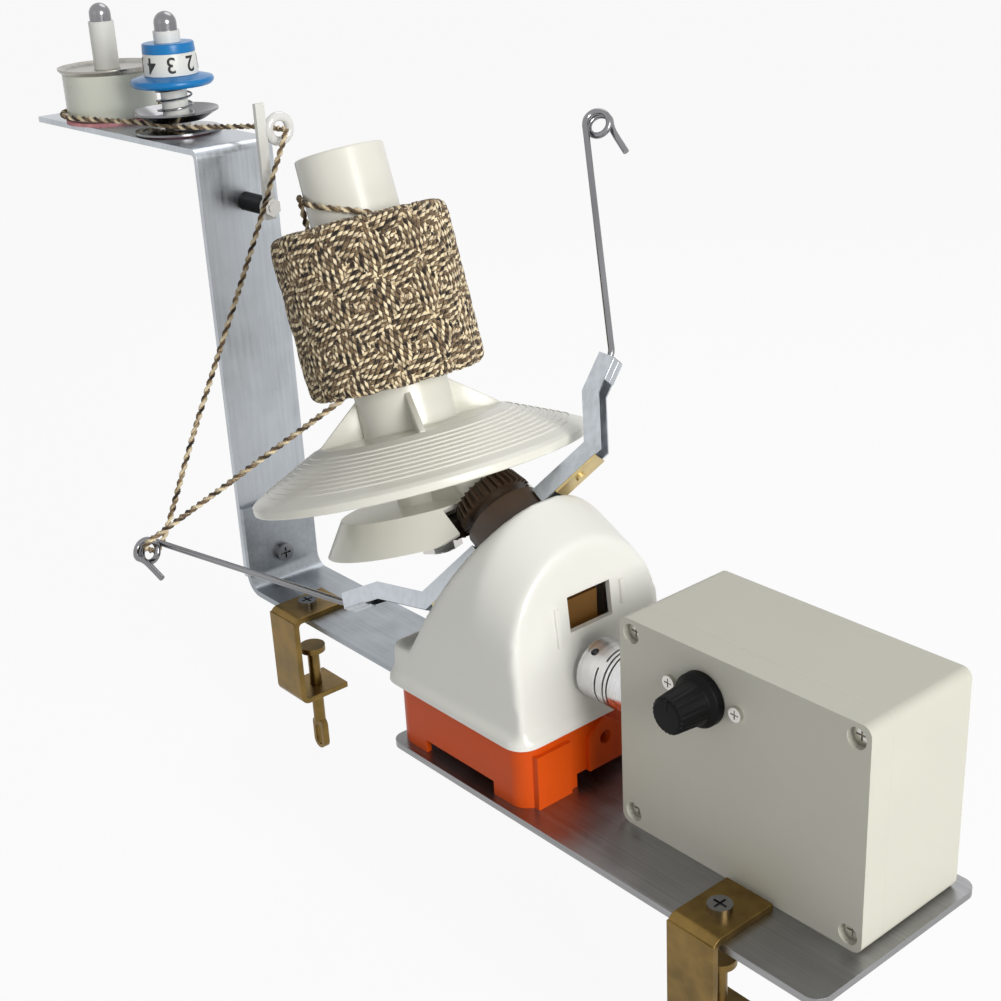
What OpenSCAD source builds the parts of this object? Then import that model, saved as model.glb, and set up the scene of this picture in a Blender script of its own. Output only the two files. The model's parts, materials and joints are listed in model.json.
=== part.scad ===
// Electric yarn ball winder on a long base plate, in millimetres.
// The origin is the centre of the base plate's underside. X runs from the post to the motor box, Z is up.

/* [Base plate and post] */
// Length of the base plate
plate_l = 234; // [220:1:260]
// Width of the base plate
plate_w = 91; // [88:1:110]
// Thickness of the base plate
plate_t = 3; // [2:0.5:4]
// Thickness of the bent steel strips of the foot and the post
strip_t = 3; // [2:0.5:3.5]
// Width of the foot strip
foot_w = 42; // [36:1:43]
// Width of the post
post_w = 42; // [34:1:44]
// Sideways offset of the foot and the post
post_y = 10.5; // [8:0.5:12]
// Place of the post's front face, behind the origin
post_x = 286; // [276:1:300]
// Height of the post's top flange
post_h = 232; // [225:1:245]
// Length of the top flange
flange_l = 166; // [160:1:180]

/* [Winder body] */
// Length of the orange base
base_l = 84; // [80:1:90]
// Width of the orange base
base_w = 83; // [78:1:88]
// Height of the orange base
base_h = 28; // [26:1:32]
// Wall of the base and of the hood
body_wall = 2.5; // [2:0.25:3]
// Height of the hood's crown
hood_top = 118; // [114:1:121]
// Height of the input shaft
input_z = 53; // [51:0.5:55]

/* [Flyer] */
// Lean of the flyer axis from vertical, in degrees
flyer_tilt = 57.6; // [56.5:0.1:58.5]
// Turn of the upper arm about the flyer axis, in degrees
arm_turn = 39.8; // [30:0.1:50]
// Reach of the yarn loops from the flyer axis
loop_r = 133; // [125:1:140]
// Height of the yarn loops along the flyer axis
loop_h = 105.6; // [95:0.1:112]
// Width of the arm channels
arm_w = 10.5; // [9:0.25:12]
// Diameter of the wire guides
wire_d = 2.8; // [2.2:0.1:3.4]

/* [Spool] */
// Lean of the spool axis from vertical, in degrees
spool_tilt = 18; // [17:0.25:19]
// Radius of the spool's skirt
disc_r = 75; // [70:1:76]
// Drop of the skirt's rim below the spool's datum
disc_h = 13; // [11:0.5:13.5]
// Length of the spool's tube
tube_l = 127; // [115:1:140]
// Radius of the tube at its foot
tube_r_low = 21; // [20.5:0.25:22]
// Radius of the tube at its top
tube_r_top = 19.25; // [18.5:0.25:20]
// Diameter of the spool's axle
axle_d = 10; // [8:0.5:11]

/* [Motor box] */
// Length of the box
box_l = 115; // [110:1:118]
// Depth of the box
box_d = 55; // [53:1:60]
// Height of the box
box_h = 90; // [88:1:96]
// Wall of the box
box_wall = 3; // [2.5:0.25:3.25]
// Depth of the lid
lid_d = 11.5; // [11:0.25:12]
// Diameter of the gearmotor
motor_d = 37; // [34:0.5:38]
// Outer diameter of the coupling
coupling_d = 25; // [20:0.5:28]
// Length of the coupling
coupling_l = 27; // [24:0.5:27.5]
// Diameter of the speed knob's skirt
knob_d = 21; // [18:0.5:24]

/* [Tension and guide] */
// Radius of the tension discs
tension_r = 21; // [20:0.5:24]
// Radius of the guide wheel
wheel_r = 23.5; // [21:0.5:25]
// Height of the guide wheel
wheel_h = 23; // [20:0.5:26]
// Radius of the dial's foot flange
dial_r = 20.5; // [19:0.5:24]
// Outer diameter of the eyelet
eyelet_d = 16; // [14:0.5:18]

/* [Clamps] */
// Width of a clamp strip
clamp_w = 22; // [18:1:24]
// Drop of a clamp below its tab
clamp_drop = 45; // [42:1:60]
// Reach of a clamp's jaws
clamp_reach = 29; // [26:1:34]
// Diameter of the clamp screws
clamp_screw_d = 6; // [5:0.25:7]

/* [Yarn] */
// Diameter of a strand of yarn
yarn_d = 3; // [2.4:0.1:3]
// Diameter of the yarn wound on the ball
wound_d = 4; // [3.2:0.1:4]
// Radius of the ball
ball_r = 40.3; // [38:0.1:44]
// Height of the ball
ball_h = 73; // [66:1:80]

/* [Hidden] */
$fn = 64;

// Gaps
fit = 0.05;
seat_gap = 0.3;

// Plate and post
foot_z = plate_t;
foot_top = foot_z + strip_t;
bend_r = 10;
top_bend_r = 5;
tab_h = 50;
post_low = 11;
post_screw_z = 20;
post_screw_d = 5;
foot_end = -44;
foot_screws_x = [-60, -100];
foot_screw_d = 5;

// Orange base and hood
base_x1 = -32;
base_x0 = base_x1 - base_l;
base_xc = (base_x0 + base_x1) / 2;
base_top = plate_t + base_h;
base_corner = 9;
arch_h = 6;
leg_w = 5.5;
leg_boss_d = 8;
deck_t = 3;
hood_lip = 3.5;
hood_lip_h = 4;
hood_front_h = -14.5;
hood_shoulder_z = 47;
hood_shoulder_x = -95;
window_y = [-6, 17];
window_z = [67, 82];
slot_x = [-82, -66.5];
slot_half = 31;
hood_mid_x = -61;
hood_mid_spring = 72;
hood_back_x = -38.5;
hood_back_top = 101;
hood_back_spring = 58;
hood_left_spring = 60;
hood_over = 4;

// Flyer axis, driving bevel pair and their cone apex
flyer_x = -88.2;
flyer_z = 103;
apex_h = (input_z - flyer_z) / cos(flyer_tilt);
apex_x = flyer_x - apex_h * sin(flyer_tilt);
drive_teeth = 30;
pinion_teeth = 15;
drive_angle = 90 - flyer_tilt;
pinion_cone = atan(sin(drive_angle) / (drive_teeth / pinion_teeth + cos(drive_angle)));
drive_cone = drive_angle - pinion_cone;
drive_far = 74;
drive_near = 65;
tooth_add = 1.5;
tooth_ded = 1.8;
tooth_share = 0.225;
input_d = 8;
motor_shaft_d = 6;
bush_d = 12;
bush_l = 8;
frame_x = [-66, -44];
frame_half = 14;
frame_top = input_z + 14;
neck_x = [-62, -41.5];
neck_half = 8.5;
neck_z = [input_z + 7, input_z + 29];
flyer_shaft_d = 14;
flyer_bush_d = 18;
post_d = 8;
barrel_d = 22;
barrel_h = [-48, -30.5];
bush_low_h = -40.5;
flyer_shaft_h = [-40, 12.5];
hub_h = [-12, 4];
hub_d = 34;
ring_h = [4, 12];
arm_h = -7;
arm_t = 7;
arm_wall = 1.2;
crimp_in = 61;
crimp_l = 9;
arm_tip = [76, 18];
arm_points = [[hub_d / 2 + fit, arm_h], [47.5, arm_h], [crimp_in, 11], arm_tip];
tag_in = 24;
tag_l = 22;
tag_t = 1.2;
tag_rivet_h = 1;

// Spool axis, its crossing with the flyer axis and the slow bevel pair
spool_x = -145;
spool_z = 120.3;
axes_angle = flyer_tilt - spool_tilt;
cross_h = ((spool_z - flyer_z) * sin(spool_tilt) + (spool_x - flyer_x) * cos(spool_tilt))
    / (cos(flyer_tilt) * sin(spool_tilt) - sin(flyer_tilt) * cos(spool_tilt));
cross_s = (flyer_z + cross_h * cos(flyer_tilt) - spool_z) / cos(spool_tilt);
ring_teeth = 30;
spool_teeth = 64;
ring_cone = atan(sin(axes_angle) / (spool_teeth / ring_teeth + cos(axes_angle)));
spool_cone = axes_angle - ring_cone;
slow_far = (cross_h - ring_h[0]) / cos(ring_cone);
slow_near = (cross_h - ring_h[1]) / cos(ring_cone);
slow_add = 0.8;
slow_ded = 1.0;
gear_s = [cross_s - slow_far * cos(spool_cone), cross_s - slow_near * cos(spool_cone)];
cup_s = [-39.5, -25.5];
cup_r = [49.5, 40];
cup_wall = 2.5;
cup_cut_h = 1.5;
ring_room = hub_d / 2 + 3;
neck_h = ring_h[1] + 2;
stem_s = -12;
stem_reach = 36;
stem_half = 7;
cup_boss_d = 28;
cup_boss_s = gear_s[1] + 0.5;
neck_d = 18;
skirt_r = 41;
skirt_s = 7;
rim_h = 5;
hub_wall = 8;
ridge_count = 9;
ridge_step = 2.8;
ridge_w = 1.2;
gusset_h = 17;
gusset_reach = skirt_r - tube_r_low - 0.5;
gusset_t = 2.5;
gusset_turn = 62;
tube_wall = 2.5;
disc_wall = 3;
rim_wall = 4;
plug_l = 10;

// Motor box
box_x0 = -3;
box_x1 = box_x0 + box_l;
box_y0 = -16.5;
box_y1 = box_y0 + box_d;
box_z0 = plate_t;
box_z1 = box_z0 + box_h;
lid_y = box_y0 + lid_d;
screw_inset = 6;
recess_d = 8;
recess_l = 5;
box_corner = 4;
box_screw_xs = [box_x0 + screw_inset, box_x1 - screw_inset];
box_screw_zs = [box_z0 + screw_inset, box_z1 - screw_inset];
box_foot_xs = [box_x0 + 20, box_x1 - 20];
box_foot_ys = [12, box_y1 - 12];
box_foot_d = 4;
box_foot_boss = 9;
box_foot_head = 7;
knob_x = 39.2;
knob_z = 75;
knob_l = 19;
knob_tip_d = 13;
pot_d = 14;
pot_l = 8;
pot_shaft_d = 6;
panel_screw_dx = 16;
motor_off = 7;
gearbox_l = 24;
motor_l = 31;
motor_screw_r = 15.5;
motor_screw_turns = [0, 120, 240];
coupling_x1 = -5;
coupling_x0 = coupling_x1 - coupling_l;
inlet_d = 12;
plug_d = 6;
inlet_x = 98;
inlet_z = 22;
board_t = 1.6;
board_y = box_y1 - box_wall - 4;
board_x = [12, 84];
board_z = [14, 84];
board_in = 4;
board_post_xs = [board_x[0] + board_in, board_x[1] - board_in];
board_post_zs = [board_z[0] + board_in, board_z[1] - board_in];

// Top flange
flange_y = post_y;
flange_x0 = -post_x - flange_l;
dial_x = -338;
wheel_x = -405;
bolt_d = 6;
sleeve_d = 13;
bolt_head = 10;
washer_t = 2;
disc_t = 1;
lower_disc_z = post_h + washer_t;
yarn_gap = yarn_d + 0.4;
upper_disc_z = lower_disc_z + disc_t + yarn_gap;
dial_z = post_h + 23;
dial_flange_h = 5.5;
dial_body_r = 13.5;
dial_top_z = dial_z + 20.5;
dial_sleeve_top = dial_top_z + 5.5;
spring_wire = 1.2;
spring_r = 8.6;
spring_turns = 4;
wheel_z = post_h + washer_t;
wheel_top_z = wheel_z + wheel_h;
wheel_flange_t = 3;
wheel_sleeve_top = post_h + 50;
dome_h = 9;
dome_r = 5.5;

// Yarn guide on the post
stud_y = 13.5;
stud_z = post_h - 28;
stud_d = 5;
stud_nut_w = 9;
stud_sleeve_d = 9;
stud_sleeve_l = 19;
bar_w = 5;
bar_t = 2.5;
bar_z = [stud_z - 6, post_h + 20];
bar_x = -post_x + stud_sleeve_l;
eyelet_z = post_h + 7;
eyelet_y = stud_y + bar_w / 2 + eyelet_d / 2 - 0.7;
eyelet_hole = 7;

// Clamps
clamp_t = 3;
clamp_bend = 5;
jaw_short = 4;
left_clamp_x = -240.5;
left_clamp_y = -17;
right_clamp_x = 64;
right_clamp_y = -plate_w / 2 - (clamp_bend - clamp_t) - 0.1;
clamp_pad_top = -14;
clamp_pad_d = 13;
clamp_pad_h = 3;
clamp_screw_y = 13;
clamp_screw_l = 44;
handle_l = 18;
handle_w = 9;
handle_t = 3.5;
rivet_d = 5;

// Wound yarn: cycles up and down the ball, and turns round it
ball_s = 24;
wind_cycles = 11;
wind_turns = 16;
wind_rings = 40;
layer_step = wound_d + 0.5;
wind_r_low = ball_r - wound_d / 2 - layer_step;
core_r = wind_r_low - wound_d / 2 - 0.2;
wind_span = ball_h - wound_d;
turn_share = 0.025;

// Routes of the free yarn, in order from the guide wheel to the ball
feed_points = [[-392, 33, 236.7], [-399, 36, 236.7], [-406, 37, 236.7], [-413, 35.5, 236.7],
    [-420, 32, 236.7], [-426, 26, 236.7], [-430, 18, 236.7], [-431, 10, 236.7], [-429, 2, 236.7],
    [-425, -6, 236.7], [-419, -11.5, 236.7], [-412, -14.5, 236.7], [-405, -15.5, 236.7], [-398, -14.5, 236.7],
    [-388, -11.2, 236.7], [-376, -7.2, 236.7], [-364, -3.2, 236.7], [-352, 0, 236.7], [-338, 2, 236.7],
    [-324, 5, 236.7], [-310, 10, 237.4], [-296, 15, 238.2], [-282, 20, 239], [-272, 23, 239],
    [-264, 23.3, 239]];
run_points = [[-264, 23.3, 239], [-260, 23.4, 239], [-257.5, 19.5, 234], [-257, 13, 222], [-254, 1, 202],
    [-250, -17, 173], [-246, -36, 143], [-241, -56, 112], [-236, -73, 84], [-234.3, -80, 73],
    [-233.6, -83.6, 68.8], [-232.5, -85.6, 68.2], [-231.6, -87.5, 69.6]];
lay_points = [[-231.6, -87.5, 69.6], [-230.6, -89.7, 71.2], [-229, -92, 73.4], [-226.4, -92.6, 76.8],
    [-220, -88.6, 82.4], [-204, -79, 96], [-189, -70, 108.6], [-174, -60.7, 121.6], [-156, -49.8, 136.9],
    [-138.6, -39.3, 151.8]];

// Height of the yarn's tail above the ball, by angle round the tube
tail_rises = [[212, 1.8], [222, 8], [229, 13.4], [238, 15.2], [250, 14], [270, 11.3], [295, 8], [315, 5],
    [335, 2.8], [352, 1.8]];

// Rigid moves onto the flyer's and the spool's own axes
module on_flyer(h = 0) {
    translate([flyer_x, 0, flyer_z]) rotate([0, -flyer_tilt, 0]) translate([0, 0, h]) children();
}

module on_spool(s = 0) {
    translate([spool_x, 0, spool_z]) rotate([0, -spool_tilt, 0]) translate([0, 0, s]) children();
}

module along_x(x, y, z) {
    translate([x, y, z]) rotate([0, 90, 0]) children();
}

module along_y(x, y, z) {
    translate([x, y, z]) rotate([-90, 0, 0]) children();
}

// A block between two corners
module block(low, high) {
    translate(low) cube(high - low);
}

// A flat outline with round corners
module rounded(l, w, r) {
    square([l - 2 * r, w], center = true);
    square([l, w - 2 * r], center = true);
    for (x = [-1, 1], y = [-1, 1]) translate([x * (l / 2 - r), y * (w / 2 - r)]) circle(r);
}

// A ring of teeth as a flat outline
function tooth_points(n, tip, root, tip_half, root_half) = [for (i = [0:n - 1], k = [0:3])
    let (a = 360 * i / n + [-root_half, -tip_half, tip_half, root_half][k],
        r = (k == 1 || k == 2) ? tip : root)
    [r * cos(a), r * sin(a)]];

// A straight bevel gear from its large end at z = 0 towards its apex
module bevel_gear(n, cone, far, near, add, ded, bore) {
    r = far * sin(cone);
    pitch = 360 / n;
    difference() {
        linear_extrude(height = (far - near) * cos(cone), scale = near / far)
            polygon(tooth_points(n, r + add, r - ded, pitch * tooth_share / 2.2, pitch * tooth_share));
        translate([0, 0, -1]) cylinder(d = bore, h = far);
    }
}

// A tube swept along points, with each ring turned towards a given outward direction
function unit(v) = v / norm(v);
function heading(p, i) = unit(p[min(i + 1, len(p) - 1)] - p[max(i - 1, 0)]);
function ring_at(p, i, out, r, sides) =
    let (t = heading(p, i), b = unit(cross(t, out)), n = cross(b, t))
    [for (k = [0:sides - 1]) p[i] + r * (cos(360 * k / sides) * n + sin(360 * k / sides) * b)];
function tube_faces(rings, sides) = concat(
    [for (i = [0:rings - 2], k = [0:sides - 1])
        [i * sides + k, (i + 1) * sides + k, (i + 1) * sides + (k + 1) % sides]],
    [for (i = [0:rings - 2], k = [0:sides - 1])
        [i * sides + k, (i + 1) * sides + (k + 1) % sides, i * sides + (k + 1) % sides]],
    [for (k = [1:sides - 2]) [0, k, k + 1]],
    [for (k = [1:sides - 2]) [(rings - 1) * sides, (rings - 1) * sides + k + 1, (rings - 1) * sides + k]]);

module tube(p, outs, d, sides) {
    polyhedron(points = [for (i = [0:len(p) - 1]) each ring_at(p, i, outs[i], d / 2, sides)],
        faces = tube_faces(len(p), sides));
}

// A strand of yarn, its rings turned towards one steady direction
module strand(p, out) {
    tube(p, [for (i = p) out], yarn_d, 8);
}

// Steel plate under the winder and the box
module base_plate() {
    color("slategray") difference() {
        linear_extrude(plate_t) rounded(plate_l, plate_w, 6);
        for (x = foot_screws_x) translate([x, post_y, -1]) cylinder(d = foot_screw_d, h = plate_t + 2);
        translate([right_clamp_x, right_clamp_y + clamp_screw_y, -1]) cylinder(d = rivet_d, h = plate_t + 2);
        for (x = box_foot_xs, y = box_foot_ys) {
            translate([x, y, -1]) cylinder(d = box_foot_d, h = plate_t + 2);
            translate([x, y, -1]) cylinder(d = box_foot_head, h = 3);
        }
    }
}

// Bent strip that ties the post to the base plate
module post_foot() {
    color("silver") difference() {
        union() {
            block([-post_x + bend_r, post_y - foot_w / 2, foot_z], [foot_end, post_y + foot_w / 2, foot_top]);
            translate([-post_x + bend_r, post_y + foot_w / 2, foot_z + bend_r]) rotate([90, 0, 0])
                rotate_extrude(angle = 90, start = 180) translate([bend_r - strip_t, 0])
                    square([strip_t, foot_w]);
            block([-post_x, post_y - foot_w / 2, foot_z + bend_r],
                [-post_x + strip_t, post_y + foot_w / 2, tab_h]);
        }
        for (x = foot_screws_x) translate([x, post_y, 0]) cylinder(d = foot_screw_d, h = 2 * foot_top);
        translate([left_clamp_x, left_clamp_y + clamp_screw_y, 0]) cylinder(d = rivet_d, h = 2 * foot_top);
        along_x(-post_x - 1, post_y, post_screw_z) cylinder(d = post_screw_d, h = strip_t + 2);
    }
}

// Upright strip with the flange at its top
module post() {
    color("silver") difference() {
        union() {
            block([-post_x - strip_t, post_y - post_w / 2, post_low],
                [-post_x, post_y + post_w / 2, post_h - top_bend_r]);
            translate([-post_x - top_bend_r, post_y + post_w / 2, post_h - top_bend_r]) rotate([90, 0, 0])
                rotate_extrude(angle = 90) translate([top_bend_r - strip_t, 0]) square([strip_t, post_w]);
            block([flange_x0, post_y - post_w / 2, post_h - strip_t],
                [-post_x - top_bend_r, post_y + post_w / 2, post_h]);
        }
        along_x(-post_x - strip_t - 1, post_y, post_screw_z) cylinder(d = post_screw_d, h = strip_t + 2);
        along_x(-post_x - strip_t - 1, stud_y, stud_z) cylinder(d = stud_d, h = strip_t + 2);
        for (x = [dial_x, wheel_x])
            translate([x, flange_y, post_h - strip_t - 1]) cylinder(d = bolt_d, h = strip_t + 2);
    }
}

// Pan-head screw with a cross recess, head up, standing on z = 0
module pan_screw(d, shank) {
    difference() {
        union() {
            translate([0, 0, -shank]) cylinder(d = d, h = shank);
            cylinder(d = d * 1.9, h = d * 0.55);
        }
        for (a = [0, 90]) rotate(a) translate([-d * 0.6, -d * 0.1, d * 0.25]) cube([d * 1.2, d * 0.2, d]);
    }
}

// Screws of the plates and the clamp tabs
module plate_screws() {
    color("gainsboro") {
        for (x = foot_screws_x) translate([x, post_y, foot_top]) pan_screw(foot_screw_d, foot_top - 0.2);
        translate([left_clamp_x, left_clamp_y + clamp_screw_y, foot_top + clamp_t])
            pan_screw(rivet_d, strip_t + clamp_t);
        translate([right_clamp_x, right_clamp_y + clamp_screw_y, plate_t + clamp_t])
            pan_screw(rivet_d, plate_t + clamp_t - 0.2);
        along_x(-post_x + strip_t, post_y, post_screw_z) pan_screw(post_screw_d, 2 * strip_t + 6);
        along_x(-post_x - strip_t - 4, post_y, post_screw_z) difference() {
            cylinder(d = 9.2, h = 4, $fn = 6);
            translate([0, 0, -1]) cylinder(d = post_screw_d, h = 6);
        }
        for (x = box_foot_xs, y = box_foot_ys) {
            translate([x, y, 0.3]) cylinder(d = box_foot_head, h = 1.7);
            translate([x, y, 2]) cylinder(d = box_foot_d, h = box_wall + 5);
        }
    }
}

// Bent C of strip steel, its tab on top at z = 0 and its leg at y = 0, hanging towards -Z
module clamp_frame() {
    low = clamp_t - clamp_drop;
    rotate([90, 0, 90]) translate([0, 0, -clamp_w / 2]) difference() {
        linear_extrude(clamp_w) {
            translate([clamp_bend - clamp_t, 0]) square([clamp_reach - clamp_bend + clamp_t, clamp_t]);
            translate([clamp_bend - clamp_t, low - clamp_t])
                square([clamp_reach - clamp_bend + clamp_t - jaw_short, clamp_t]);
            translate([-clamp_t, low + clamp_bend - clamp_t])
                square([clamp_t, clamp_drop - 2 * clamp_bend + 2 * clamp_t]);
            translate([clamp_bend - clamp_t, clamp_t - clamp_bend]) corner(90);
            translate([clamp_bend - clamp_t, low - clamp_t + clamp_bend]) corner(180);
        }
        translate([clamp_screw_y, -clamp_drop - 2, clamp_w / 2]) rotate([-90, 0, 0])
            cylinder(d = clamp_screw_d + 2 * fit, h = 12);
        translate([clamp_screw_y, -1, clamp_w / 2]) rotate([-90, 0, 0])
            cylinder(d = rivet_d, h = clamp_t + 2);
    }
}

// A quarter ring of the clamp's bend, starting at an angle
module corner(from) {
    rotate(from) intersection() {
        difference() {
            circle(clamp_bend);
            circle(clamp_bend - clamp_t);
        }
        square(clamp_bend + 1);
    }
}

module left_clamp_frame() {
    color("goldenrod") translate([left_clamp_x, left_clamp_y, foot_top]) clamp_frame();
}

module right_clamp_frame() {
    color("goldenrod") translate([right_clamp_x, right_clamp_y, plate_t]) clamp_frame();
}

// Thumb screw with a round pad on top and a flattened loop to turn it by
module clamp_screw() {
    translate([0, 0, -clamp_pad_h]) cylinder(d = clamp_pad_d, h = clamp_pad_h);
    translate([0, 0, -clamp_screw_l]) cylinder(d = clamp_screw_d, h = clamp_screw_l - clamp_pad_h);
    translate([0, handle_t / 2, 2 - clamp_screw_l - handle_l]) rotate([90, 0, 0])
        linear_extrude(handle_t) difference() {
        union() {
            translate([0, handle_w / 2]) circle(handle_w / 2);
            translate([0, handle_l - handle_w / 2]) circle(handle_w / 2);
            translate([-handle_w / 2, handle_w / 2]) square([handle_w, handle_l - handle_w]);
        }
        translate([0, handle_w / 2]) circle(handle_w / 2 - 2);
        translate([0, handle_l - handle_w / 2 - 2]) circle(handle_w / 2 - 2);
        translate([-handle_w / 2 + 2, handle_w / 2]) square([handle_w - 4, handle_l - handle_w - 2]);
    }
}

module left_clamp_screw() {
    color("darkgoldenrod")
        translate([left_clamp_x, left_clamp_y + clamp_screw_y, clamp_pad_top]) clamp_screw();
}

module right_clamp_screw() {
    color("darkgoldenrod")
        translate([right_clamp_x, right_clamp_y + clamp_screw_y, clamp_pad_top]) clamp_screw();
}

// Orange tub with corner legs, a slotted deck, a flat pad and a drilled pointed boss
module winder_base() {
    pad_y = [-36.5, -18.5];
    boss_z = base_top - 9.5;
    color("darkorange") difference() {
        union() {
            translate([base_xc, 0, plate_t]) linear_extrude(base_h) rounded(base_l, base_w, base_corner);
            block([base_x1 - 1, pad_y[0], plate_t], [base_x1 + 2, pad_y[1], base_top - 4]);
            translate([base_x1 - 1, 0, 0]) rotate([90, 0, 90]) linear_extrude(3.5)
                polygon([[-9, plate_t + arch_h], [9, plate_t + arch_h], [9, boss_z + 3], [0, base_top],
                    [-9, boss_z + 3]]);
        }
        difference() {
            translate([base_xc, 0, plate_t - 1]) linear_extrude(base_h + 1 - deck_t)
                rounded(base_l - 2 * body_wall, base_w - 2 * body_wall, base_corner - body_wall);
            for (p = hood_screw_places()) translate([p[0], p[1], 0]) cylinder(d = leg_boss_d, h = base_top);
        }
        block([base_x0 - 1, -base_w / 2 + leg_w + 4, 0],
            [base_x0 + body_wall + 1, base_w / 2 - leg_w, plate_t + arch_h]);
        block([base_x1 - body_wall - 1, -14, 0], [base_x1 + 3, base_w / 2 - leg_w - 8, plate_t + arch_h]);
        for (y = [-1, 1]) block([base_x0 + 20, y * base_w / 2 - 4, 0],
            [base_x1 - 20, y * base_w / 2 + 4, plate_t + arch_h]);
        block([slot_x[0], -slot_half, base_top - deck_t - 1], [slot_x[1], slot_half, base_top + 1]);
        along_x(base_x1 - body_wall - 2, 0, boss_z) cylinder(d = 6, h = 8);
        for (p = hood_screw_places()) translate([p[0], p[1], plate_t]) cylinder(d = 3, h = base_h + 1);
    }
}

function hood_screw_places() = [for (x = [-1, 1], y = [-1, 1])
    [base_xc + x * (base_l / 2 - leg_w), y * (base_w / 2 - leg_w)]];

// Arched slice of the hood at x, with a half width, a spring height and a crown
module hood_slice(x, half, spring, crown, low) {
    translate([x, 0, 0]) rotate([90, 0, 90]) linear_extrude(0.5, $fn = 32) {
        translate([-half, low]) square([2 * half, spring - low]);
        translate([0, spring]) intersection() {
            scale([1, (crown - spring) / half]) circle(half);
            translate([-half, 0]) square([2 * half, crown]);
        }
    }
}

// Outline of the hood, set in by a wall
module hood_form(inset) {
    half = base_w / 2 - 1 - inset;
    low = base_top - (inset > 0 ? 1 : 0);
    difference() {
        hull() {
            hood_slice(base_x0 - hood_over + inset, half, hood_left_spring, hood_top - inset, low);
            hood_slice(hood_mid_x, half, hood_mid_spring, hood_top - inset, low);
            hood_slice(hood_back_x - inset, half - 4, hood_back_spring, hood_back_top - inset, low);
            hood_slice(base_x1 - 1.5 - inset, half, base_top + 8, base_top + 12, low);
        }
        on_flyer(hood_front_h - inset) translate([-200, -100, 0]) cube([400, 200, 200]);
    }
    block([base_x0 - hood_over + inset, -half, low], [hood_shoulder_x, half, hood_shoulder_z - inset]);
}

// White moulded hood with a slanted front for the flyer, a window and a skirt
module hood() {
    color("ivory") difference() {
        union() {
            hood_form(0);
            translate([base_xc - 2, 0, base_top]) linear_extrude(hood_lip_h)
                rounded(base_l + 2 * hood_lip, base_w + 2 * hood_lip - 1, base_corner);
        }
        hood_form(body_wall);
        on_flyer(hood_front_h - 6) cylinder(d = 24, h = 30);
        block([-60, window_y[0], window_z[0]], [0, window_y[1], window_z[1]]);
        along_x(-50, 0, input_z) cylinder(d = 14, h = 40);
        for (p = hood_screw_places()) translate([p[0], p[1], 0]) cylinder(d = 3, h = base_top + 10);
    }
}

// Screws from below that hold the hood to the base
module hood_screws() {
    color("gainsboro") for (p = hood_screw_places()) {
        translate([p[0], p[1], plate_t + 0.5]) cylinder(d = 3, h = base_h + 2);
    }
}

// Cast block that carries the input shaft, the flyer's bush and the fixed spool post
module bearing_frame() {
    color("dimgray") difference() {
        union() {
            block([frame_x[0], -frame_half, base_top], [frame_x[1], frame_half, frame_top]);
            block([neck_x[0], -neck_half, neck_z[0]], [neck_x[1], neck_half, neck_z[1]]);
            on_flyer(barrel_h[0]) cylinder(d = barrel_d, h = barrel_h[1] - barrel_h[0]);
        }
        along_x(frame_x[0] - 1, 0, input_z) cylinder(d = bush_d, h = frame_x[1] - frame_x[0] + 2);
        on_flyer(bush_low_h) cylinder(d = flyer_bush_d, h = 60);
        on_flyer(barrel_h[0] - 1) cylinder(d = post_d, h = 20);
    }
}

// Plain bushes of the input shaft and the flyer shaft
module shaft_bushes() {
    color("peru") {
        for (x = [frame_x[0], frame_x[1] - bush_l]) along_x(x, 0, input_z) difference() {
            cylinder(d = bush_d, h = bush_l);
            translate([0, 0, -1]) cylinder(d = input_d + 2 * fit, h = bush_l + 2);
        }
        on_flyer(bush_low_h + 0.5) difference() {
            cylinder(d = flyer_bush_d, h = barrel_h[1] - bush_low_h - 0.5);
            translate([0, 0, -1]) cylinder(d = flyer_shaft_d + 2 * fit, h = 30);
        }
    }
}

// Input shaft of the winder and output shaft of the gearbox, end to end in the coupling
module drive_shafts() {
    gear_x = apex_x - drive_far * cos(drive_cone);
    color("silver") {
        along_x(gear_x - 3, 0, input_z)
            cylinder(d = input_d, h = coupling_x0 + coupling_l / 2 - 1 - gear_x + 3);
        along_x(coupling_x0 + coupling_l / 2 + 1, 0, input_z)
            cylinder(d = motor_shaft_d, h = box_x0 + box_wall - coupling_x0 - coupling_l / 2 - 1 + 10);
    }
}

// Brown bevel gear on the input shaft, seen through the hood's window
module drive_gear() {
    color("saddlebrown") translate([apex_x - drive_far * cos(drive_cone), 0, input_z]) rotate([0, 90, 0])
        rotate(180) bevel_gear(drive_teeth, drive_cone, drive_far, drive_near, tooth_add, tooth_ded, input_d);
}

// Slit aluminium coupling with a set-screw hole at each end
module coupling() {
    color("silver") along_x(coupling_x0, 0, input_z) difference() {
        cylinder(d = coupling_d, h = coupling_l);
        translate([0, 0, -1]) cylinder(d = input_d, h = coupling_l / 2 + 1);
        translate([0, 0, coupling_l / 2]) cylinder(d = motor_shaft_d, h = coupling_l);
        for (i = [0:3]) rotate(90 * i)
            translate([-coupling_d * 0.3, -coupling_d, coupling_l * (0.36 + 0.08 * i)])
                cube([coupling_d, 2 * coupling_d, 0.8]);
        for (z = [0.16, 0.84])
            translate([0, 0, z * coupling_l]) rotate([0, -90, 30]) cylinder(d = 3.5, h = coupling_d);
    }
}

// Hollow shaft that turns the flyer about the fixed spool post
module flyer_shaft() {
    color("silver") on_flyer(flyer_shaft_h[0]) difference() {
        cylinder(d = flyer_shaft_d, h = flyer_shaft_h[1] - flyer_shaft_h[0]);
        translate([0, 0, -1]) cylinder(d = post_d + 2 * fit, h = 100);
    }
}

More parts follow.
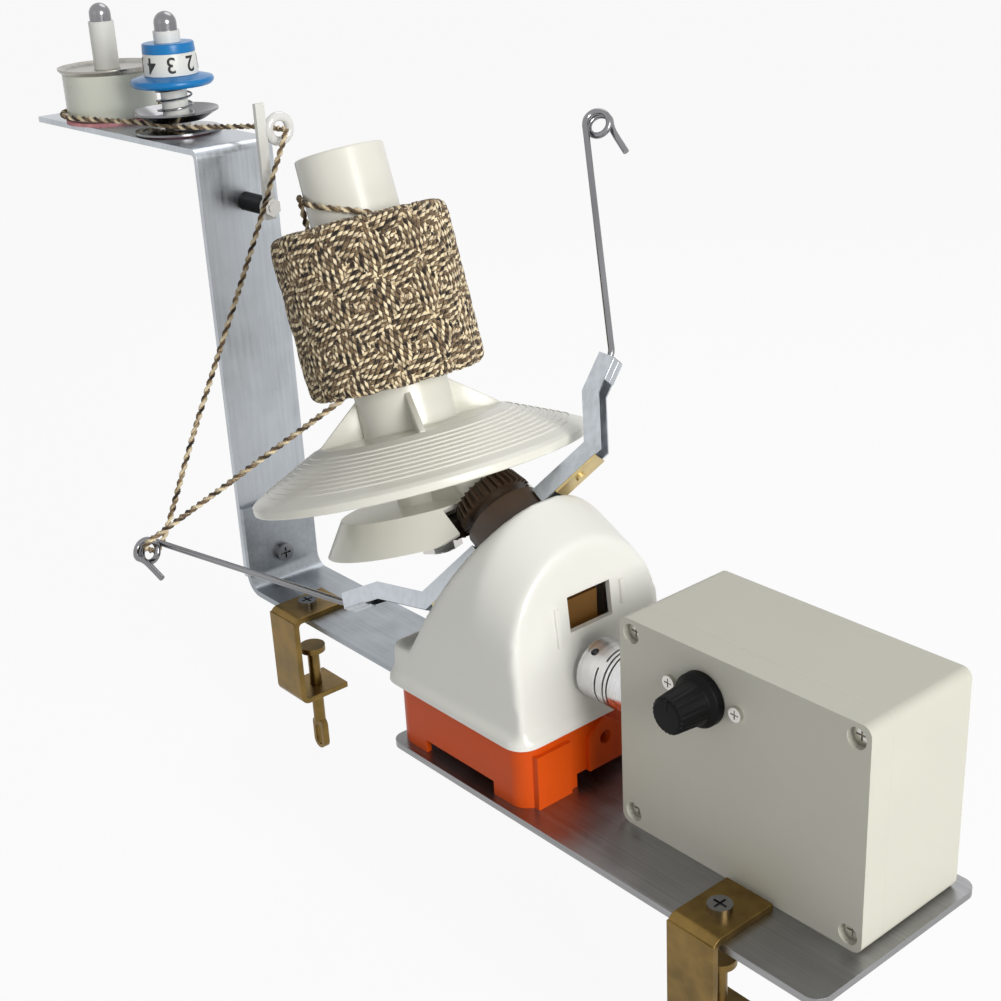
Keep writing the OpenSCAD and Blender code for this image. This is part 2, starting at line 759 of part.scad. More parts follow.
// Bevel pinion on the flyer shaft
module flyer_gear() {
    color("saddlebrown") on_flyer(apex_h + drive_far * cos(pinion_cone)) rotate([180, 0, 0])
        bevel_gear(pinion_teeth, pinion_cone, drive_far, drive_near, tooth_add, tooth_ded, flyer_shaft_d);
}

// Hub of the flyer with two flats that take the arms
module flyer_hub() {
    color("lightgray") on_flyer(0) difference() {
        union() {
            translate([0, 0, hub_h[0]]) cylinder(d = hub_d, h = hub_h[1] - hub_h[0] - 5);
            translate([0, 0, hub_h[0]]) cylinder(d = hub_d - 10, h = hub_h[1] - hub_h[0]);
        }
        translate([0, 0, hub_h[0] - 1]) cylinder(d = flyer_shaft_d, h = 40);
    }
}

// Dark brown toothed ring that turns the spool slowly
module toothed_ring() {
    color("#3b2415") on_flyer(ring_h[0]) rotate(180 / ring_teeth)
        bevel_gear(ring_teeth, ring_cone, slow_far, slow_near, slow_add, slow_ded, flyer_shaft_d);
}

// Offset of a bent line in its own plane, with mitred corners
function side_of(a, b) = let (d = unit(b - a)) [-d[1], d[0]];
function mitre(p, i) = let (
    n0 = side_of(p[max(i - 1, 0)], p[max(i - 1, 0) + 1]),
    n1 = side_of(p[min(i, len(p) - 2)], p[min(i, len(p) - 2) + 1]))
    (n0 + n1) / (1 + n0 * n1);
function shifted(p, d) = [for (i = [0:len(p) - 1]) p[i] + d * mitre(p, i)];
function reversed(p) = [for (i = [len(p) - 1:-1:0]) p[i]];

// Bent channel, open towards the hood
module arm_channel() {
    rotate([90, 0, 0]) difference() {
        translate([0, 0, -arm_w / 2]) linear_extrude(arm_w)
            polygon(concat(shifted(arm_points, arm_t / 2), reversed(shifted(arm_points, -arm_t / 2))));
        translate([0, 0, -arm_w / 2 + arm_wall]) linear_extrude(arm_w - 2 * arm_wall)
            polygon(concat(shifted(arm_points, arm_t / 2 - arm_wall), reversed(shifted(arm_points, -arm_t))));
    }
}

module upper_arm() {
    color("silver") on_flyer(0) rotate(arm_turn) arm_channel();
}

module lower_arm() {
    color("silver") on_flyer(0) rotate(arm_turn + 180) arm_channel();
}

// Brass-coloured plates riveted over the open side of the arms
module arm_plates() {
    low = arm_h - arm_t / 2 - tag_t;
    color("goldenrod") on_flyer(0) for (a = [0, 180]) rotate(arm_turn + a) {
        translate([tag_in, -arm_w / 2, low]) cube([tag_l, arm_w, tag_t]);
        translate([tag_in + tag_l / 2, 0, low - tag_rivet_h]) cylinder(d = arm_w * 0.4, h = tag_rivet_h);
    }
}

// Points of a wire guide: along the channel's end, up to the pigtail, round it and off its tail
function wire_points() = let (
    d = unit(arm_tip - arm_points[2]),
    lift = (arm_t / 2 - arm_wall - wire_d / 2 - seat_gap) * [-d[1], d[0]],
    held = arm_tip - crimp_l * d + lift,
    bend = arm_tip + 2 * d + lift,
    a = [bend[0], 0, bend[1]],
    b = [loop_r, 0, loop_h],
    w = unit(b - a),
    n = [w[2], 0, -w[0]],
    c = b + 5 * n)
    concat([[held[0], 0, held[1]], a, (a + b) / 2, b - 3 * w],
        [for (k = [0:17]) c - 5 * n * cos(30 * k) + 5 * w * sin(30 * k) + [0, 0.35 * k, 0]],
        [c + 5 * n * cos(0) - 5 * w * 0.6 + [0, 6.4, 0], c + 5 * n - 15 * w + [0, 6.6, 0]]);

module wire_guide() {
    p = wire_points();
    tube(p, [for (i = p) [0.02, 1, 0.01]], wire_d, 8);
}

module upper_wire() {
    color("silver") on_flyer(0) rotate(arm_turn) wire_guide();
}

module lower_wire() {
    color("silver") on_flyer(0) rotate(arm_turn + 180) wire_guide();
}

// Fixed shaft through the flyer that holds the spool's housing
module spool_post() {
    color("silver") on_flyer(barrel_h[0]) cylinder(d = post_d, h = 28 - barrel_h[0]);
}

// White cup under the skirt: bearing of the spool and cover of the slow gears
module spool_housing() {
    color("ivory") difference() {
        union() {
            on_spool(0) rotate_extrude() polygon([[0, cup_s[1]], [cup_r[1], cup_s[1]], [cup_r[0], cup_s[0]],
                [cup_r[0] - cup_wall, cup_s[0]], [cup_r[1] - cup_wall, cup_s[1] - cup_wall],
                [0, cup_s[1] - cup_wall]]);
            on_spool(cup_boss_s) cylinder(d = cup_boss_d, h = stem_s - cup_boss_s);
            on_spool(0) block([0, -stem_half, cup_s[1] - 1], [stem_reach, stem_half, stem_s]);
            intersection() {
                on_flyer(neck_h) cylinder(d = neck_d, h = 30);
                on_spool(stem_s - 60) cylinder(r = disc_r, h = 60);
            }
        }
        on_flyer(cup_cut_h - 100) cylinder(r = 90, h = 100);
        on_flyer(cup_cut_h - 1) cylinder(r = ring_room, h = neck_h - cup_cut_h + 1);
        on_spool(-60) cylinder(d = axle_d + 2 * fit, h = 80);
        on_flyer(0) cylinder(d = post_d, h = 28);
    }
}

// Height of the skirt's upper face at a radius
function skirt_at(r) = skirt_s - (r - skirt_r) * (skirt_s + disc_h - rim_h) / (disc_r - 2 - skirt_r);

// White spool: conical skirt with fine ridges and a rounded rim, gussets and a long tapered tube
module spool() {
    color("ivory") on_spool(0) difference() {
        union() {
            rotate_extrude() {
                polygon([[axle_d / 2, skirt_s - disc_wall], [skirt_r - 1, skirt_s - disc_wall],
                    [disc_r - rim_wall, skirt_at(disc_r - rim_wall) - disc_wall],
                    [disc_r - rim_wall, -disc_h], [disc_r, -disc_h], [disc_r, rim_h - disc_h - 1.5],
                    [disc_r - 2, rim_h - disc_h],
                    [skirt_r, skirt_s], [axle_d / 2, skirt_s]]);
                for (i = [0:ridge_count - 1]) let (r = skirt_r + 4 + ridge_step * i)
                    translate([r, skirt_at(r) - 0.9]) square([ridge_w, 1.2]);
                polygon([[tube_r_low - tube_wall, skirt_s - 1], [tube_r_low, skirt_s - 1],
                    [tube_r_top, tube_l], [tube_r_top - tube_wall, tube_l]]);
                polygon([[axle_d / 2, tube_l - plug_l], [tube_r_top - 1, tube_l - plug_l],
                    [tube_r_top - 1, tube_l - plug_l + 3], [axle_d / 2, tube_l - plug_l + 3]]);
                translate([axle_d / 2, stem_s + seat_gap]) square([hub_wall, skirt_s - stem_s - 1]);
            }
            for (a = [0:90:270])
                rotate(a + gusset_turn) translate([0, gusset_t / 2, skirt_s - 0.5]) rotate([90, 0, 0])
                    linear_extrude(gusset_t) polygon([[tube_r_low - 1, 0], [tube_r_low + gusset_reach, 0],
                        [tube_r_low - 1, gusset_h]]);
        }
        translate([0, 0, -60]) cylinder(d = axle_d, h = 300);
    }
}

// Axle that turns with the spool in the housing's boss
module spool_axle() {
    color("silver") on_spool(gear_s[0] - 9) cylinder(d = axle_d, h = tube_l - plug_l + 5 - gear_s[0] + 9);
}

// Slow bevel gear on the foot of the axle
module spool_gear() {
    color("saddlebrown") on_spool(gear_s[0])
        bevel_gear(spool_teeth, spool_cone, slow_far, slow_near, slow_add, slow_ded, axle_d);
}

// Black washer and hexagon nut under the slow gear
module axle_nut() {
    color("dimgray") on_spool(gear_s[0] - 1.5) difference() {
        cylinder(d = 20, h = 1.5);
        translate([0, 0, -1]) cylinder(d = axle_d, h = 4);
    }
    color("silver") on_spool(gear_s[0] - 8) difference() {
        cylinder(d = 18, h = 6.5, $fn = 6);
        translate([0, 0, -1]) cylinder(d = axle_d, h = 9);
    }
}

// A shell of the motor box between two depths, open at one of them
module box_shell(y0, y1, open_y0) {
    difference() {
        along_y((box_x0 + box_x1) / 2, y0, (box_z0 + box_z1) / 2) linear_extrude(y1 - y0)
            rounded(box_l, box_h, box_corner);
        block([box_x0 + box_wall, open_y0 ? y0 - 1 : y0 + box_wall, box_z0 + box_wall],
            [box_x1 - box_wall, open_y0 ? y1 - box_wall : y1 + 1, box_z1 - box_wall]);
    }
    for (x = box_screw_xs, z = box_screw_zs)
        along_y(x, y0, z) cylinder(d = recess_d + 3, h = y1 - y0);
}

// Places of the motor's screws in the box's left wall
module motor_screw_places(x) {
    for (a = motor_screw_turns)
        along_x(x, motor_off + motor_screw_r * cos(a), input_z + motor_screw_r * sin(a)) children();
}

// Grey box that holds the motor and its control
module enclosure_body() {
    color("gainsboro") difference() {
        union() {
            box_shell(lid_y, box_y1, true);
            for (x = board_post_xs, z = board_post_zs)
                along_y(x, board_y, z) cylinder(d = 7, h = box_y1 - board_y - 1);
            for (x = box_foot_xs, y = box_foot_ys)
                translate([x, y, box_z0 + 1]) cylinder(d = box_foot_boss, h = box_wall + 4);
        }
        along_x(box_x0 - 1, 0, input_z) cylinder(d = 8.6, h = box_wall + 2);
        motor_screw_places(box_x0 - 1) cylinder(d = 3, h = box_wall + 2);
        for (x = box_screw_xs, z = box_screw_zs) along_y(x, lid_y - 1, z) cylinder(d = 4, h = 21);
        for (x = box_foot_xs, y = box_foot_ys)
            translate([x, y, 0]) cylinder(d = box_foot_d, h = box_wall + 7);
        along_y(inlet_x, box_y1 - box_wall - 1, inlet_z) cylinder(d = inlet_d, h = box_wall + 2);
    }
}

// Front cover of the box, with sunk screw holes and the control's holes
module enclosure_lid() {
    color("gainsboro") difference() {
        box_shell(box_y0, lid_y, false);
        for (x = box_screw_xs, z = box_screw_zs) {
            along_y(x, box_y0 - 1, z) cylinder(d = recess_d, h = recess_l + 1);
            along_y(x, box_y0 - 1, z) cylinder(d = 4, h = lid_d + 2);
        }
        along_y(knob_x, box_y0 - 1, knob_z) cylinder(d = pot_shaft_d + 1, h = box_wall + 2);
        for (x = [-1, 1])
            along_y(knob_x + x * panel_screw_dx, box_y0 - 1, knob_z) cylinder(d = 3, h = box_wall + 2);
    }
}

// Lid screws, panel screws and motor screws of the box
module enclosure_screws() {
    color("silver") {
        for (x = box_screw_xs, z = box_screw_zs)
            along_y(x, box_y0 + recess_l, z) rotate([180, 0, 0]) pan_screw(4, 24 - recess_l);
        for (x = [-1, 1])
            along_y(knob_x + x * panel_screw_dx, box_y0, knob_z) rotate([180, 0, 0]) pan_screw(3, 8);
        motor_screw_places(box_x0) rotate([180, 0, 0]) pan_screw(3, box_wall + 4);
    }
}

// Rotary speed control behind the lid, its shaft through the front
module speed_control() {
    color("darkslategray") {
        along_y(knob_x, box_y0 + box_wall, knob_z) cylinder(d = pot_d, h = pot_l);
        along_y(knob_x, box_y0 - 14, knob_z) cylinder(d = pot_shaft_d, h = 14 + box_wall);
    }
}

// Black knob with a wide skirt and a tapered grip
module speed_knob() {
    color("#1a1a1a") along_y(knob_x, box_y0 - seat_gap, knob_z) rotate([180, 0, 0]) difference() {
        rotate_extrude() polygon([[0, 0], [knob_d / 2, 0], [knob_d / 2, 4], [knob_d / 2 - 2.2, 6],
            [knob_tip_d / 2 + 0.6, knob_l - 1], [knob_tip_d / 2 - 0.4, knob_l], [0, knob_l]]);
        translate([0, 0, -1]) cylinder(d = pot_shaft_d + 2 * fit, h = 15);
        translate([-0.6, knob_tip_d / 2 - 3, knob_l - 0.8]) cube([1.2, 8, 2]);
    }
}

// Control board on posts at the back of the box
module circuit_board() {
    color("seagreen") block([board_x[0], board_y - board_t, board_z[0]], [board_x[1], board_y, board_z[1]]);
    color("seagreen") block([board_x[0] + 14, board_y - board_t - 3, board_z[0] + 48],
        [board_x[0] + 32, board_y - board_t, board_z[0] + 62]);
}

// Gearbox flange-mounted inside the box's left wall, its shaft off centre
module gearbox() {
    color("silver") difference() {
        along_x(box_x0 + box_wall, motor_off, input_z) cylinder(d = motor_d, h = gearbox_l);
        along_x(box_x0 + box_wall - 1, 0, input_z) cylinder(d = motor_shaft_d + 2 * fit, h = 13);
        motor_screw_places(box_x0) cylinder(d = 3, h = box_wall + 5);
    }
}

module motor() {
    color("dimgray") {
        along_x(box_x0 + box_wall + gearbox_l, motor_off, input_z) cylinder(d = motor_d - 1, h = motor_l);
        along_x(box_x0 + box_wall + gearbox_l + motor_l, motor_off, input_z) cylinder(d = 10, h = 3);
    }
}

// Socket for the power lead at the back of the box
module power_inlet() {
    color("#1a1a1a") along_y(inlet_x, box_y1 - box_wall - 8, inlet_z) difference() {
        union() {
            cylinder(d = inlet_d, h = box_wall + 8);
            translate([0, 0, box_wall + 8]) cylinder(d = inlet_d + 4, h = 2);
        }
        translate([0, 0, 3]) cylinder(d = plug_d, h = 20);
    }
}

// Bolts of the tension unit and of the guide wheel
module axle_bolts() {
    color("silver") for (p = [[dial_x, dial_sleeve_top], [wheel_x, wheel_sleeve_top]])
        translate([p[0], flange_y, 0]) {
            translate([0, 0, post_h - strip_t - 4]) cylinder(d = bolt_head, h = 4, $fn = 6);
            translate([0, 0, post_h - strip_t]) cylinder(d = bolt_d, h = p[1] + 5 - post_h + strip_t);
        }
}

// White sleeves that the dial and the wheel turn on
module white_sleeves() {
    color("white") for (p = [[dial_x, dial_sleeve_top], [wheel_x, wheel_sleeve_top]])
        translate([p[0], flange_y, post_h]) difference() {
            cylinder(d = sleeve_d, h = p[1] - post_h);
            translate([0, 0, -1]) cylinder(d = bolt_d, h = 80);
        }
}

// Domed nuts on top of the two bolts
module dome_nuts() {
    color("silver") for (p = [[dial_x, dial_sleeve_top], [wheel_x, wheel_sleeve_top]])
        translate([p[0], flange_y, p[1]]) difference() {
            rotate_extrude() {
                square([dome_r, dome_h - dome_r]);
                translate([0, dome_h - dome_r]) intersection() {
                    circle(dome_r);
                    square(dome_r);
                }
            }
            translate([0, 0, -1]) cylinder(d = bolt_d, h = 6);
        }
}

// Felt washers under the lower disc and under the wheel
module felt_washers() {
    color("pink") for (p = [[dial_x, 2 * tension_r - 10], [wheel_x, 2 * wheel_r + 2]])
        translate([p[0], flange_y, post_h]) difference() {
        cylinder(d = p[1], h = washer_t - seat_gap);
        translate([0, 0, -1]) cylinder(d = sleeve_d + 0.4, h = 5);
    }
}

// Dished steel disc with its rim turned by a rise
module tension_disc(z, rise) {
    color("lightgray") translate([dial_x, flange_y, z]) rotate_extrude()
        polygon([[sleeve_d / 2 + 0.2, 0], [tension_r * 0.66, 0], [tension_r, rise],
            [tension_r, rise + disc_t], [tension_r * 0.66, disc_t], [sleeve_d / 2 + 0.2, disc_t]]);
}

module lower_tension_disc() {
    tension_disc(lower_disc_z, -1);
}

module upper_tension_disc() {
    tension_disc(upper_disc_z, 4);
}

// Coil spring between the upper disc and the dial
module tension_spring() {
    z0 = upper_disc_z + disc_t + spring_wire / 2 + 0.1;
    z1 = dial_z - spring_wire / 2 - 0.4;
    n = 8 * spring_turns;
    p = [for (i = [0:n])
        [dial_x + spring_r * cos(45 * i), flange_y + spring_r * sin(45 * i), z0 + (z1 - z0) * i / n]];
    outs = [for (i = [0:n]) [cos(45 * i), sin(45 * i), 0]];
    echo(spring_gap = (z1 - z0) / spring_turns - spring_wire);
    color("silver") tube(p, outs, spring_wire, 6);
}

// Blue tension dial: foot flange, body and top ring
module tension_dial() {
    color("dodgerblue") translate([dial_x, flange_y, dial_z]) difference() {
        rotate_extrude() {
            polygon([[0, 0], [dial_r - 2, 0], [dial_r, 1.5], [dial_r, dial_flange_h - 2.5],
                [dial_r - 2, dial_flange_h - 1], [dial_body_r + 1.5, dial_flange_h],
                [dial_body_r, dial_flange_h + 1], [dial_body_r - 1, dial_top_z - dial_z - 2],
                [dial_body_r - 3, dial_top_z - dial_z], [0, dial_top_z - dial_z]]);
        }
        translate([0, 0, -1]) cylinder(d = sleeve_d + 2 * fit, h = 60);
    }
}

// White wheel that the yarn passes round first
module guide_wheel() {
    color("whitesmoke") translate([wheel_x, flange_y, wheel_z]) difference() {
        rotate_extrude() polygon([[0, 0], [wheel_r - 1, 0], [wheel_r, 1], [wheel_r, wheel_h], [0, wheel_h]]);
        translate([0, 0, -1]) cylinder(d = sleeve_d + 2 * fit, h = 60);
    }
}

// Dished metal flange on top of the wheel
module wheel_flange() {
    color("darkgray") translate([wheel_x, flange_y, wheel_top_z]) rotate_extrude()
        polygon([[sleeve_d / 2 + 0.2, 0], [wheel_r, 0], [wheel_r + 2, wheel_flange_t - 1],
            [wheel_r + 2, wheel_flange_t], [wheel_r - 2, 1.2], [sleeve_d / 2 + 0.2, 1.2]]);
}

// Stud through the post with a nut on each side
module guide_stud() {
    color("silver") {
        along_x(-post_x - strip_t - 6, stud_y, stud_z)
            cylinder(d = stud_d, h = stud_sleeve_l + strip_t + 6 + bar_t + 3);
        along_x(-post_x - strip_t - 4, stud_y, stud_z) cylinder(d = stud_nut_w, h = 4, $fn = 6);
        along_x(bar_x + bar_t, stud_y, stud_z) cylinder(d = stud_nut_w, h = 2.5, $fn = 6);
    }
}

// Black spacer on the stud, with its fixing nut face on the post
module stud_sleeve() {
    color("#1a1a1a") along_x(-post_x, stud_y, stud_z) difference() {
        cylinder(d = stud_sleeve_d, h = stud_sleeve_l);
        translate([0, 0, -1]) cylinder(d = stud_d, h = stud_sleeve_l + 2);
    }
}

// Upright bar that carries the eyelet
module guide_bar() {
    color("white") difference() {
        union() {
            block([bar_x, stud_y - bar_w / 2, bar_z[0]], [bar_x + bar_t, stud_y + bar_w / 2, bar_z[1]]);
            along_x(bar_x, stud_y, stud_z) cylinder(d = stud_sleeve_d, h = bar_t);
        }
        along_x(bar_x - 1, stud_y, stud_z) cylinder(d = stud_d, h = bar_t + 2);
        along_x(bar_x - 1, eyelet_y, eyelet_z) cylinder(d = eyelet_d, h = bar_t + 2);
    }
}

// Ceramic ring that the yarn runs through
module eyelet() {
    ring_r = (eyelet_d - eyelet_hole) / 4;
    color("white") along_x(bar_x + bar_t / 2, eyelet_y, eyelet_z)
        rotate_extrude() translate([eyelet_hole / 2 + ring_r, 0]) circle(ring_r);
}

// Height of the winding along its cycle, from 0 at the foot to 1 at the top, with round turns
function from_peak(x) = x < turn_share ? 1 - 2 * turn_share - 2 * x * x / turn_share : 1 - 4 * x;
function wave(c) = let (u = abs(c - floor(c) - 0.5)) u < 0.25 ? from_peak(u) : -from_peak(0.5 - u);
function ease(x) = let (t = min(max(x, 0), 1)) t * t * (3 - 2 * t);
// Share of the outer layer: falling strands lie outside the rising ones
function outer_share(c) = let (f = c - floor(c))
    f < 0.5 - turn_share ? 1 - ease((f + turn_share) / (2 * turn_share))
    : f < 1 - turn_share ? ease((f - 0.5 + turn_share) / (2 * turn_share))
    : 1 - ease((f - 1 + turn_share) / (2 * turn_share));
function wind_point(i) = let (
    turns = i / wind_rings,
    c = turns * wind_cycles / wind_turns + 0.04,
    r = wind_r_low + layer_step * outer_share(c))
    [r * cos(360 * turns), r * sin(360 * turns), ball_s + ball_h / 2 + wind_span / 2 * wave(c)];

// Ball of yarn: a plain core and one criss-cross winding over it
module yarn_ball() {
    n = wind_turns * wind_rings - 8;
    p = [for (i = [0:n]) wind_point(i)];
    outs = [for (i = [0:n]) [cos(360 * i / wind_rings), sin(360 * i / wind_rings), 0]];
    echo(winding_gap = min([for (i = [0:n - 5], j = [i + 5:n])
        if (abs(p[i][2] - p[j][2]) < 2 * wound_d) norm(p[i] - p[j])]) - wound_d);
    color("tan") on_spool(0) {
        rotate_extrude() polygon([[tube_r_low + 0.3, ball_s], [core_r - 3, ball_s], [core_r, ball_s + 6],
            [core_r, ball_s + ball_h - 6], [core_r - 3, ball_s + ball_h],
            [tube_r_low + 0.3, ball_s + ball_h]]);
        tube(p, outs, wound_d, 6);
    }
}

// Tail of the yarn, from the ball up across the tube and down again
module yarn_tail() {
    angles = [352:-5:212];
    p = [for (a = angles) let (s = ball_s + ball_h + lookup(a, tail_rises),
        r = tube_r_low + (tube_r_top - tube_r_low) * s / tube_l + yarn_d / 2 + 0.2)
        [r * cos(a), r * sin(a), s]];
    color("tan") on_spool(0) tube(p, [for (a = angles) [cos(a), sin(a), 0]], yarn_d, 8);
}

// Yarn from the guide wheel, between the tension discs and into the eyelet
module yarn_feed() {
    color("tan") strand(feed_points, [0, 0, 1]);
}

// Yarn from the eyelet down to the flyer's lower loop
module yarn_run() {
    color("tan") strand(run_points, [0, 1, 0]);
}

// Yarn from the loop to the ball
module yarn_lay() {
    color("tan") strand(lay_points, [1, 0, 0]);
}

base_plate();
post_foot();
post();
plate_screws();
left_clamp_frame();
right_clamp_frame();
left_clamp_screw();
right_clamp_screw();
winder_base();
hood();
hood_screws();
bearing_frame();
shaft_bushes();
drive_shafts();
drive_gear();
coupling();
flyer_shaft();
flyer_gear();
flyer_hub();
toothed_ring();
upper_arm();
lower_arm();
arm_plates();
upper_wire();
lower_wire();
spool_post();
spool_housing();
spool();
spool_axle();
spool_gear();
axle_nut();
enclosure_body();
enclosure_lid();
enclosure_screws();
speed_control();
speed_knob();
circuit_board();
gearbox();
motor();
power_inlet();
axle_bolts();
white_sleeves();
dome_nuts();
felt_washers();
lower_tension_disc();
upper_tension_disc();
tension_spring();
tension_dial();
guide_wheel();
wheel_flange();
guide_stud();
stud_sleeve();
guide_bar();
eyelet();
yarn_ball();
yarn_tail();
yarn_feed();
yarn_run();
yarn_lay();
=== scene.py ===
# %% [markdown]
# # An electric yarn ball winder
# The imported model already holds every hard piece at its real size. This lesson dresses it: it adds
# the camera, the light, the finishes, and those pieces whose look needs more than a plain solid, such
# as the twisted yarn, the wound ball and the moulded hood.

# %% Load the model
import json
import math

import bmesh
import bpy
from mathutils import Matrix, Vector


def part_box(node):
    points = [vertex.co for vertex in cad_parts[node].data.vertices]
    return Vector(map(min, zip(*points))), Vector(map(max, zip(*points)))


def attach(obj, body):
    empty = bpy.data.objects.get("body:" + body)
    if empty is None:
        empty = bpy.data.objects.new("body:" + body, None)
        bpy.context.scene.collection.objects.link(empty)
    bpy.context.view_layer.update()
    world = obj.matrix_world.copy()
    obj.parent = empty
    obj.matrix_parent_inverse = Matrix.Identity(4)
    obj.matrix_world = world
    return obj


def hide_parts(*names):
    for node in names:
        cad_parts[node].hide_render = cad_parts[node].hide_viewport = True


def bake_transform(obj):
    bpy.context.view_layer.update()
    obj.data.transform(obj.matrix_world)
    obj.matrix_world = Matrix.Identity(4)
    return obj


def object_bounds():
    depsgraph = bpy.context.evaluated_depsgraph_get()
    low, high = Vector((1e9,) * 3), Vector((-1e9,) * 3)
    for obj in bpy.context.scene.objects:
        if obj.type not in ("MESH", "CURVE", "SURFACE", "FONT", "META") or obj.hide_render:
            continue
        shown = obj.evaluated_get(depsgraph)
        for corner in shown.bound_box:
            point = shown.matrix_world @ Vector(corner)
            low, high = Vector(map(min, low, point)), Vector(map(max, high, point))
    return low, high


MM = 0.001
ACROSS = Vector((0, 1, 0))
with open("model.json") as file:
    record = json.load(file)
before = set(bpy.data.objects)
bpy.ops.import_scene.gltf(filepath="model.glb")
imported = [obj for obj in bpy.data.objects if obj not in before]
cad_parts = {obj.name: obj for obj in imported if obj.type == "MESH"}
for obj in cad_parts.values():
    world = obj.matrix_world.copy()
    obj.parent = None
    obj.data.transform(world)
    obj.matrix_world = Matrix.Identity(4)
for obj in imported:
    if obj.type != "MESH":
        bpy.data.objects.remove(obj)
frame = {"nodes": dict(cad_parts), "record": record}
cad_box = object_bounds()
scene = bpy.context.scene
scene.view_settings.view_transform = "Standard"
slot_of = {row["node"]: row["material_slot"] for row in frame["record"]["subparts"]}
bodies = frame["record"]["behaviour"]["bodies"]
body_of = {node: body for body, members in bodies.items() for node in members}

# %% [markdown]
# ## The camera
# A camera object looks along its own -Z axis, with +Y up. One way to aim it is a Track To constraint;
# here its three axes are worked out from an azimuth, an elevation and a small roll, because the
# picture was taken by hand and leans a little.

# %% Camera
CAM_PLACE = Vector((0.37308, -0.38012, 0.36253))
CAM_AZIMUTH = math.radians(50.5416)
CAM_ELEVATION = math.radians(22.99295)
CAM_ROLL = math.radians(2.97334)
LENS_MM = 56.76
SENSOR_MM = 36.0


def from_axes(x_axis, y_axis, z_axis):
    return Matrix((x_axis, y_axis, z_axis)).transposed().to_4x4()


def new_object(name, data):
    holder = bpy.data.objects.new(name, data)
    scene.collection.objects.link(holder)
    return holder


back = Vector((math.sin(CAM_AZIMUTH) * math.cos(CAM_ELEVATION),
               -math.cos(CAM_AZIMUTH) * math.cos(CAM_ELEVATION), math.sin(CAM_ELEVATION)))
level_right = (-back).cross(Vector((0, 0, 1))).normalized()
level_down = (-back).cross(level_right)
right = math.cos(CAM_ROLL) * level_right + math.sin(CAM_ROLL) * level_down
down = math.cos(CAM_ROLL) * level_down - math.sin(CAM_ROLL) * level_right
lens = bpy.data.cameras.new("camera")
lens.lens = LENS_MM
lens.sensor_width = SENSOR_MM
camera = new_object("camera", lens)
camera.matrix_world = Matrix.Translation(CAM_PLACE) @ from_axes(right, -down, back)
scene.camera = camera
print("camera at", [round(c, 3) for c in CAM_PLACE])

# %% [markdown]
# ## Shader nodes
# A material or a world is a tree of nodes. Every input takes a plain value or the output of another
# node, so one helper makes a node and does both, and two short ones cover the commonest sums.

# %% Node helpers
def add_node(tree, kind, inputs, **settings):
    node = tree.nodes.new(kind)
    for label, value in settings.items():
        setattr(node, label, value)
    for label, value in inputs.items():
        if isinstance(value, bpy.types.NodeSocket):
            tree.links.new(value, node.inputs[label])
        else:
            node.inputs[label].default_value = value
    return node.outputs


def worked(tree, operation, *values):
    return add_node(tree, "ShaderNodeMath", dict(enumerate(values)), operation=operation)[0]


def spread(tree, value, low, high, start, end):
    return add_node(tree, "ShaderNodeMapRange", {
        "Value": value, "From Min": low, "From Max": high, "To Min": start, "To Max": end})["Result"]


def new_material(name):
    material = bpy.data.materials.new(name)
    material.use_nodes = True
    tree = material.node_tree
    return material, tree, tree.nodes["Principled BSDF"]


# %% [markdown]
# ## Light and floor
# Large area lamps give the soft light of a studio. The world lights the scene evenly, but through
# Light Path it shows as white to the camera and in reflections, so a white backdrop costs the object
# no extra light. The floor lies under the clamp screws and keeps a faint shadow.

# %% Light and floor
LAMP_TARGET = Vector((-0.12, 0.0, 0.1))
WHITE = (1.0, 1.0, 1.0, 1.0)
WORLD_STRENGTH = 0.26
FLOOR_TINT = (0.82, 0.82, 0.82, 1.0)
FLOOR_ROUGHNESS = 0.9
FLOOR_GLOW = 0.92
FLOOR_SIZE = 6.0
floor_z = cad_box[0][2] - 2 * MM


def add_lamp(name, place, size, watts, tint):
    lamp = bpy.data.lights.new(name, "AREA")
    lamp.shape = "DISK"
    lamp.size = size
    lamp.energy = watts
    lamp.color = tint
    aim = (LAMP_TARGET - Vector(place)).to_track_quat("-Z", "Y").to_matrix().to_4x4()
    new_object(name, lamp).matrix_world = Matrix.Translation(place) @ aim


def sees_backdrop(tree):
    ray = add_node(tree, "ShaderNodeLightPath", {})
    seen = worked(tree, "MAXIMUM", ray["Is Camera Ray"], ray["Is Glossy Ray"])
    return worked(tree, "MAXIMUM", seen, ray["Is Transmission Ray"])


def mesh_from(shape, name="shape"):
    mesh = bpy.data.meshes.new(name)
    shape.to_mesh(mesh)
    shape.free()
    return mesh


add_lamp("key", (1.3, -0.17, 0.64), 0.8, 18.0, (1.0, 0.99, 0.97))
add_lamp("front_fill", (-0.25, -1.2, 0.55), 0.9, 0.4, (0.97, 0.98, 1.0))
add_lamp("rim", (-0.5, 0.6, 1.2), 0.8, 3.2, (1.0, 1.0, 1.0))

world = bpy.data.worlds.new("studio")
world.use_nodes = True
scene.world = world
tree = world.node_tree
soft_light = tree.nodes["Background"]
soft_light.inputs["Color"].default_value = WHITE
soft_light.inputs["Strength"].default_value = WORLD_STRENGTH
backdrop = add_node(tree, "ShaderNodeBackground", {"Color": WHITE, "Strength": 1.0})
choice = add_node(tree, "ShaderNodeMixShader",
                  {0: sees_backdrop(tree), 1: soft_light.outputs[0], 2: backdrop[0]})
tree.links.new(choice[0], tree.nodes["World Output"].inputs["Surface"])

